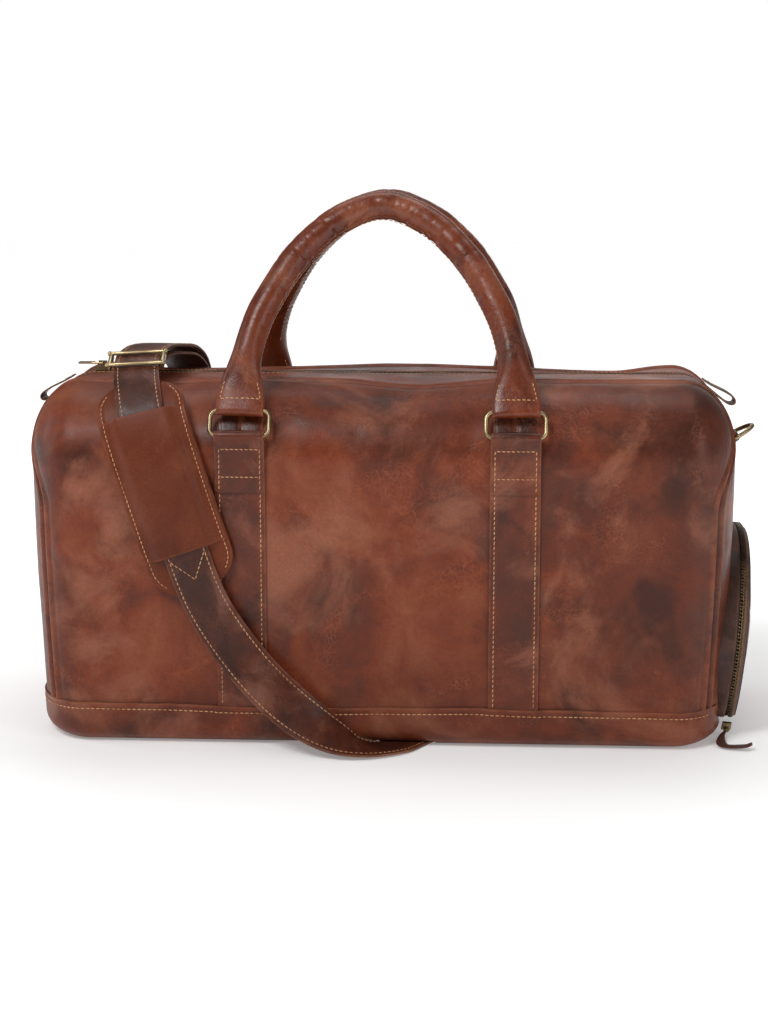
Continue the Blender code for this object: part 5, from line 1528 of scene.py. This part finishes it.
def make_pouch():
    """The cloth pocket behind the door, narrowing and rippling inwards."""
    outline = closed_arch(DOOR_RADIUS - 0.003)
    verts = []
    for i in range(13):
        depth = -0.004 - 0.100 * i / 12
        narrow = 1 - 0.13 * smooth(i / 3) - 0.02 * i / 12
        centre = in_frame(depth, 0, 0)
        for y, z in outline:
            p = in_frame(depth, y * narrow, z * narrow * 0.98)
            ripple = 0.0016 * math.sin(i * 1.1 + y * 60) * smooth(i / 3) + 0.001 * rough(p, 30, 4)
            p += (centre - p).normalized() * (0.002 + abs(ripple))
            p.z = max(p.z, 0.0168)
            verts.append(p)
    obj = add_piece("shoe_pouch", verts, ring_faces(13, len(outline)), LINING, "bag", "lining_cloth",
                    ["shoe_pouch"])
    orient(obj, UP, Vector((0.25, 0, 0.017)))
    thicken(obj, 0.0010)


def make_shoe_compartment():
    make_shoe_rim()
    arch_zip("shoe_zip_fixed_side", STANDOFF + 0.0016, -1, "bag")
    arch_zip("shoe_zip_door_side", DOOR_START + 0.0008, 1, "shoe_door")
    make_door()
    make_pouch()


# ---------------------------------------------------------------- shoulder strap
STRAP_HALF = 0.019
STRAP_THICK = 0.0026
STRAP_SPACE = 0.0046
FOLD_TAIL = 0.022
PAD_START, PAD_LENGTH, PAD_HALF, PAD_ROUND = 0.024, 0.188, 0.037, 0.026
PAD_MIDDLE = -0.0048                     # height of the pad's rim, from the underside of the strap
SLEEVE_HALF = 0.0356
SLIDE_ROW, ROUTE_STEPS = 17, 12
# From the hook on the floor to the hook behind the bag: a place on the strap's underside and the way it faces.
STRAP_ROUTE = [
    ((0.1825, 0.1690, 0.0004), (0.00, 0.00, 1.00)), ((0.1630, 0.1352, 0.0004), (0.00, 0.00, 1.00)),
    ((0.0870, 0.0000, 0.0004), (0.00, 0.00, 1.00)), ((0.0250, -0.1100, 0.0004), (0.00, 0.00, 1.00)),
    ((0.0095, -0.1335, 0.0012), (0.00, 0.00, 1.00)), ((-0.0150, -0.1470, 0.0064), (0.00, -0.20, 0.98)),
    ((-0.0430, -0.1490, 0.0198), (0.00, -0.60, 0.80)), ((-0.0720, -0.1465, 0.0400), (0.00, -0.88, 0.48)),
    ((-0.0990, -0.1420, 0.0655), (0.00, -0.98, 0.20)), ((-0.1240, -0.1390, 0.0970), (0.00, -1.00, 0.05)),
    ((-0.1430, -0.1378, 0.1290), (0.00, -1.00, 0.00)), ((-0.1590, -0.1378, 0.1720), (0.00, -1.00, 0.00)),
    ((-0.1720, -0.1378, 0.2120), (0.00, -1.00, 0.00)), ((-0.1850, -0.1355, 0.2520), (0.00, -0.99, 0.12)),
    ((-0.1940, -0.1270, 0.2800), (0.00, -0.92, 0.39)), ((-0.1995, -0.1120, 0.3000), (-0.05, -0.75, 0.66)),
    ((-0.2030, -0.0960, 0.3125), (-0.05, -0.60, 0.80)), ((-0.2040, -0.0850, 0.3190), (-0.05, -0.50, 0.86)),
    ((-0.2035, -0.0730, 0.3240), (-0.04, -0.36, 0.93)), ((-0.2000, -0.0400, 0.3275), (-0.02, -0.05, 1.00)),
    ((-0.1950, 0.0100, 0.3240), (0.00, 0.12, 0.99)), ((-0.1915, 0.0600, 0.3165), (0.00, 0.30, 0.95)),
    ((-0.1890, 0.1050, 0.2980), (0.00, 0.62, 0.78)), ((-0.1880, 0.1340, 0.2600), (0.00, 0.95, 0.30)),
    ((-0.1880, 0.1410, 0.2200), (0.00, 1.00, 0.05)), ((-0.1880, 0.1420, 0.1800), (0.00, 1.00, 0.00)),
]


def smooth_route(rows, per_span):
    """(place, along, across, up) at each step of a strap's route."""
    places = catmull([row[0] for row in rows], per_span)
    ups = catmull([row[1] for row in rows], per_span)
    frames = []
    for i, place in enumerate(places):
        along = heading(places, i)
        across = along.cross(ups[i]).normalized()
        frames.append((place, along, across, across.cross(along)))
    return frames


def route_lengths(frames):
    return run_lengths([frame[0] for frame in frames])


def fold_frames(frames, steps=16):
    """Carries a route round the bar at its end and a little way back below itself."""
    place, along, across, up = frames[-1]
    radius = STRAP_SPACE / 2
    centre = place - up * radius
    turned = []
    for i in range(1, steps + 1):
        angle = math.pi * i / steps
        out = up * math.cos(angle) + along * math.sin(angle)
        turned.append((centre + out * radius, out.cross(across) * -1, across, out))
    last = turned[-1]
    tail = [(last[0] - along * (FOLD_TAIL * k / 4), -along, across, -up) for k in range(1, 5)]
    return frames + turned + tail


def lifted_end(frames):
    """The route with its end raised to the layer above."""
    lengths = route_lengths(frames)
    lifted = []
    for (place, along, across, up), length in zip(frames, lengths):
        share = max(0.0, 1 - (lengths[-1] - length) / 0.034)
        lifted.append((place + UP * ((STRAP_SPACE + STRAP_THICK) * smooth(share)), along, across, up))
    return lifted


ROUTE = smooth_route(STRAP_ROUTE, ROUTE_STEPS)
SLIDE_STEP = SLIDE_ROW * ROUTE_STEPS
BACK_FRAMES = ROUTE[SLIDE_STEP:]
FRONT_FRAMES = [(p, -a, -c, u) for p, a, c, u in reversed(ROUTE[:SLIDE_STEP + 1])]


def strap_lines(frames, offset, height):
    """Two rows of stitches along a strap, on the face at a height above its underside."""
    facing = 1 if height > 0.001 else -1
    return [([p + c * (sign * offset) + u * height for p, a, c, u in frames],
             [u * facing for p, a, c, u in frames]) for sign in (-1, 1)]


def make_strap():
    """The strap's front run, back run and the layer folded below it."""
    front, back = fold_frames(lifted_end(FRONT_FRAMES)), fold_frames(BACK_FRAMES)
    lengths = route_lengths(BACK_FRAMES)
    under = [f for f, s in zip(BACK_FRAMES, lengths) if s < lengths[-1] - FOLD_TAIL - 0.0003]
    under = [(p - u * (STRAP_SPACE + STRAP_THICK), a, c, u) for p, a, c, u in under]
    for name, frames in (("strap_front_run", front), ("strap_back_run", back), ("strap_under_layer", under)):
        add_strip(name, [(p, u, c) for p, a, c, u in frames], STRAP_HALF, STRAP_THICK - 0.0002, STRAP, [name],
                  0.0036, 0.0002, slot="strap_leather")
        rows = strap_lines(frames, STRAP_HALF - 0.0036, STRAP_THICK - 0.0004)
        if name != "strap_under_layer":
            rows += strap_lines(frames, STRAP_HALF - 0.0036, 0.0)
        stitches(f"{name}_stitching", rows, "bag", "strap_leather", 0.0042, 0.00042, 0.0001, 0.08)
    make_slide()
    make_pad()
    exit_stitching()


def make_slide():
    """A three-bar slide with round ends: the strap runs under its outer bars and over its middle bar."""
    place, along, across, up = BACK_FRAMES[0]
    wire, spread = 0.0017, 0.0085        # radius of the bars, and how far the outer ones lie from the middle
    above = STRAP_THICK + wire + 0.0005
    side = STRAP_HALF + 0.0032
    verts, faces = [], []
    for offset, height in ((-spread, above), (spread, above), (0.0, -wire - 0.0003)):
        centre = place + along * offset + up * height
        bar = dense([centre - across * side, centre + across * side], 0.004, False)
        wire_into(verts, faces, bar, wire, False, 14)
    for sign in (-1, 1):
        centre = place + across * (sign * side) + up * (above - 0.0022)
        turn = Matrix((along, across, up)).transposed().to_4x4()
        rounded_box_into(verts, faces, Matrix.Translation(centre) @ turn, (0.0200, 0.0032, 0.0066), 0.0013, 3)
        for offset in (-spread, spread):
            bm = bmesh.new()
            bmesh.ops.create_uvsphere(bm, u_segments=14, v_segments=10, radius=0.0023)
            head = place + across * (sign * (side + 0.0012)) + along * offset + up * above
            bm.transform(Matrix.Translation(head))
            first = len(verts)
            verts.extend(v.co.copy() for v in bm.verts)
            faces.extend(tuple(first + v.index for v in f.verts) for f in bm.faces)
            bm.free()
    obj = add_piece("strap_slide", verts, faces, BRASS, "bag", "antique_brass", ["strap_slide"])
    obj.data.set_sharp_from_angle(angle=math.radians(50))


def pad_half(travelled, start, end):
    """Half the width of the pad at a distance along the strap."""
    edge = max(0.0, min(travelled - start, end - travelled))
    inset = max(0.0, PAD_ROUND - edge)
    return PAD_HALF - PAD_ROUND + math.sqrt(max(0.0, PAD_ROUND ** 2 - inset ** 2))


def frame_at(frames, lengths, reach):
    """The route's frame at a distance along it."""
    j = stretch_at(lengths, reach)
    share = (reach - lengths[j]) / max(1e-9, lengths[j + 1] - lengths[j])
    a, b = frames[j], frames[j + 1]
    return tuple(a[k].lerp(b[k], share) if k == 0 else a[k].lerp(b[k], share).normalized() for k in range(4))


def pad_grid(rows, columns, start, end):
    """(reach, share across, half width) over the pad's outline, closer together at its edges."""
    grid = []
    for i in range(rows + 1):
        t = 0.5 - 0.5 * math.cos(math.pi * i / rows)
        reach = start + 0.0004 + (end - start - 0.0008) * t
        half = pad_half(reach, start, end)
        grid.append([(reach, math.sin(math.pi / 2 * (-1 + 2 * j / columns)), half) for j in range(columns + 1)])
    return grid


def make_pad():
    """The shoulder pad: a padded base with a stitched border, and the sleeve sewn on it."""
    lengths = route_lengths(FRONT_FRAMES)
    start, end = PAD_START, PAD_START + PAD_LENGTH
    rows, columns = 84, 40
    grid = pad_grid(rows, columns, start, end)
    top, bottom, wear = [], [], []
    for line in grid:
        for reach, share, half in line:
            place, _, across, up = frame_at(FRONT_FRAMES, lengths, reach)
            u = share * half
            edge = min((1 - abs(share)) * half, reach - start + 0.0004, end - reach + 0.0004)
            if half < PAD_HALF:
                edge = min(edge, half * (1 - abs(share)))
            fill = smooth(edge / 0.011)
            groove = 0.0005 * bump(edge - 0.0042, 0.0010)
            wave = 0.0004 * rough((reach, u, 0), 45, 3) * fill
            high = -0.0012 - 0.0018 * (1 - smooth(edge / 0.008)) - groove - max(0.0, wave)
            low = -0.0088 + 0.0046 * (1 - fill) + 0.0006 * rough((reach, u, 2), 28, 3)
            round_edge = 1 - math.sqrt(max(0.0, 1 - max(0.0, 1 - edge / 0.0014) ** 2))
            high += (PAD_MIDDLE - high) * round_edge
            low += (PAD_MIDDLE - low) * round_edge
            top.append(place + across * u + up * high)
            bottom.append(place + across * u + up * low)
            wear.append(0.75 * bump(edge - 0.0006, 0.0012) + 0.2 * bump(edge - 0.0042, 0.0014))
    count = (rows + 1) * (columns + 1)
    faces = grid_faces(rows + 1, columns + 1)
    faces += [tuple(count + i for i in reversed(f)) for f in faces]
    border = list(range(columns + 1)) + [(i + 1) * (columns + 1) - 1 for i in range(1, rows + 1)]
    border += [rows * (columns + 1) + j for j in reversed(range(columns))]
    border += [i * (columns + 1) for i in reversed(range(1, rows))]
    for a, b in zip(border, border[1:] + border[:1]):
        faces.append((a, count + a, count + b, b))
    obj = add_piece("pad_base", top + bottom, faces, PAD, "bag", "pad_leather", ["pad_base"],
                    {"wear": wear + wear})
    fix_normals(obj)
    edge_rows = []
    for sign in (-1, 1):
        points, normals = [], []
        for i in range(81):
            reach = start + 0.0045 + (end - start - 0.009) * i / 80
            inner = PAD_ROUND - 0.0042
            inset = max(0.0, PAD_ROUND - min(reach - start, end - reach))
            w = PAD_HALF - PAD_ROUND + math.sqrt(max(0.0, inner ** 2 - inset ** 2))
            place, _, across, up = frame_at(FRONT_FRAMES, lengths, reach)
            points.append(place + across * (sign * w) - up * 0.0021)
            normals.append(up)
        edge_rows.append((points, normals))
    for reach in (start + 0.0043, end - 0.0043):
        place, _, across, up = frame_at(FRONT_FRAMES, lengths, reach)
        edge_rows.append(([place + across * u - up * 0.0021 for u in (-0.0105, 0, 0.0105)], [up] * 3))
    sleeve_rows = make_sleeve(lengths, start, end)
    stitches("pad_stitching", edge_rows + sleeve_rows, "bag", "pad_leather", 0.0040, 0.00042, 0.0002, 0.08)


def make_sleeve(lengths, start, end):
    """The leather sewn over the pad, which the strap slides through; its two ends are open."""
    rows, columns = 60, 44
    middle = (start + end) / 2
    half_length = 0.0600
    verts, wear = [], []

    def height(u):
        over = smooth((0.0305 - abs(u)) / 0.0105)
        return -0.0016 + (STRAP_THICK + 0.0014 + 0.0016) * over

    def sleeve_place(share, u):
        reach = middle + share * half_length
        place, _, across, up = frame_at(FRONT_FRAMES, lengths, reach)
        sag = 0.0007 * rough((reach, u, 5), 34, 2) * smooth((0.030 - abs(u)) / 0.01)
        return place + across * u + up * (height(u) + 0.0012 + min(0.0004, sag)), up

    for i in range(rows + 1):
        share = -1 + 2 * i / rows
        for j in range(columns + 1):
            u = SLEEVE_HALF * math.sin(math.pi / 2 * (-1 + 2 * j / columns))
            place, up = sleeve_place(share, u)
            groove = 0.0005 * bump(SLEEVE_HALF - abs(u) - 0.0030, 0.0010)
            verts.append(place - up * groove)
            end_edge = (1 - abs(share)) * half_length
            wear.append(0.8 * bump(SLEEVE_HALF - abs(u), 0.0009) + 0.6 * bump(end_edge, 0.0012))
    obj = add_piece("pad_sleeve", verts, grid_faces(rows + 1, columns + 1), PAD, "bag", "pad_leather",
                    ["pad_sleeve"], {"wear": wear})
    place, up = sleeve_place(0, 0)
    orient(obj, up, place)
    thicken(obj, 0.0014, EDGE, bevel=0.0003)
    lines = []
    for sign in (-1, 1):
        points, normals = [], []
        for i in range(31):
            place, up = sleeve_place(-0.985 + 1.97 * i / 30, sign * (PAD_HALF - 0.0043))
            points.append(place)
            normals.append(up)
        lines.append((points, normals))
    return lines


def exit_stitching():
    """The stitched triangle where the strap leaves the pad."""
    lengths = route_lengths(FRONT_FRAMES)
    first = PAD_START + PAD_LENGTH - 0.030
    rows = []
    for sign in (-1, 1):
        points, normals = [], []
        for i in range(7):
            share = i / 6
            place, _, across, up = frame_at(FRONT_FRAMES, lengths, first + 0.020 * share)
            points.append(place + across * (sign * (STRAP_HALF - 0.0040) * (1 - share))
                          + up * (STRAP_THICK + 0.0001))
            normals.append(up)
        rows.append((points, normals))
    stitches("strap_exit_stitching", rows, "bag", "strap_leather", 0.0040, 0.00042, 0.0001, 0.08)


# ---------------------------------------------------------------- sliders, pulls, hooks and the inside
def give(names, finish):
    """Dresses CAD solids that show as they are."""
    for name in names:
        obj = frame["nodes"][name]
        obj.data.materials.clear()
        obj.data.materials.append(finish)
        obj.data.shade_smooth()
        obj.data.set_sharp_from_angle(angle=math.radians(40))


def make_thong(start):
    """The thin leather pull of the shoe zip, lying on the floor with its end curled up and away."""
    offsets = [(-0.001, -0.0022, 0.0006), (-0.005, -0.0120, -0.0006), (-0.007, -0.0260, -0.0026),
               (-0.003, -0.0350, -0.0028), (0.011, -0.0385, -0.0014), (0.017, -0.0395, 0.0010)]
    route = catmull([start + Vector(o) for o in offsets], 8)
    verts, faces = [], []
    sections = []
    for i, place in enumerate(route):
        along = heading(route, i)
        side = along.cross(UP).normalized()
        up = side.cross(along)
        t = i / (len(route) - 1)
        half = 0.0014 + 0.0034 * smooth(t / 0.5) - 0.0012 * smooth((t - 0.85) / 0.15)
        section = []
        for k in range(12):
            a = 2 * math.pi * k / 12
            u = math.copysign(abs(math.cos(a)) ** 0.6, math.cos(a)) * half
            v = math.sin(a) * 0.0010
            section.append(place + side * u + up * v)
        sections.append(section)
    swept(verts, faces, sections)
    obj = add_piece("shoe_zip_pull", verts, faces, DARK, "shoe_pull", "trim_leather", ["shoe_zip_pull"],
                    {"wear": [0.35] * len(verts)})
    fix_normals(obj)


def make_inside():
    """The cloth lining, hanging in loose folds, with the opening of the shoe compartment."""
    inset = 0.0066
    rows = [0.0076 + (SHOULDER - 0.008) * i / 40 for i in range(40)]
    rows += [SHOULDER + (TOP_ROUND - inset) * math.sin(math.pi / 2 * i / 18) for i in range(19)]
    verts = []
    for z in rows:
        level = min(HEIGHT - 0.0001, z + (inset if z > SHOULDER else 0) * smooth((z - SHOULDER) / 0.05))
        for p in outline_loop(level, z, inset, 8, 50, 12):
            normal = outward(p.x, p.y, max(0.02, min(p.z, HEIGHT - 0.001)))
            ripple = abs(rough(p, 26, 6)) * 0.0028 + creased((p.x, p.y, p.z), 19, 7) * 0.0016
            dip = top_dip(p.x, p.y) * smooth((z - SHOULDER) / (TOP_ROUND - inset)) * smooth(abs(p.y) / 0.04)
            verts.append(p - Vector((normal.x, normal.y, 0)) * ripple - UP * dip)
    count = len(verts) // len(rows)
    faces = without_door(verts, grid_faces(len(rows), count, True), DOOR_RADIUS - 0.001)
    faces.append(tuple(reversed(range(count))))
    obj = add_piece("lining", verts, faces, LINING, "bag", "lining_cloth", ["lining"])
    orient(obj, BACK, Vector((0, -0.118, 0.15)))
    thicken(obj, 0.0010)


def shoe_pull_start():
    """Where the thong hangs from the shoe zip's slider."""
    half_angle = math.asin(-DOOR_CHORD / DOOR_RADIUS)
    angle = math.pi + half_angle + math.radians(6.0)
    radial = Vector((0, math.cos(angle), math.sin(angle)))
    centre = RIGHT * SLIDER_MIDDLE + radial * (DOOR_RADIUS + 0.0005)
    return DOOR_FRAME @ (centre + radial * (0.0064 + 0.0003))


make_camera()
make_light()
make_floor()
make_face("front_panel", -1)
make_face("back_panel", 1)
make_end_panel("left", -1)
make_end_panel("right", 1)
make_base()
make_lips()
make_zip()
make_bands()
make_rings()
make_handles()
make_end_rings()
make_zip_tabs()
make_shoe_compartment()
make_strap()
make_thong(shoe_pull_start())
make_inside()
give(["main_zip_slider", "main_zip_pull", "shoe_zip_slider", "back_hook_eye", "back_hook_body", "back_hook_gate",
      "floor_hook_eye", "floor_hook_body", "floor_hook_gate"], BRASS)
give(["base_board"], BOARD)
give(["front_handle_core", "back_handle_core"], CORD)
for piece, (body_a, body_b, blend_start, blend_end) in PENDING_BLENDS:
    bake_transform(piece)
    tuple(blend_start)
    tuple(blend_end)
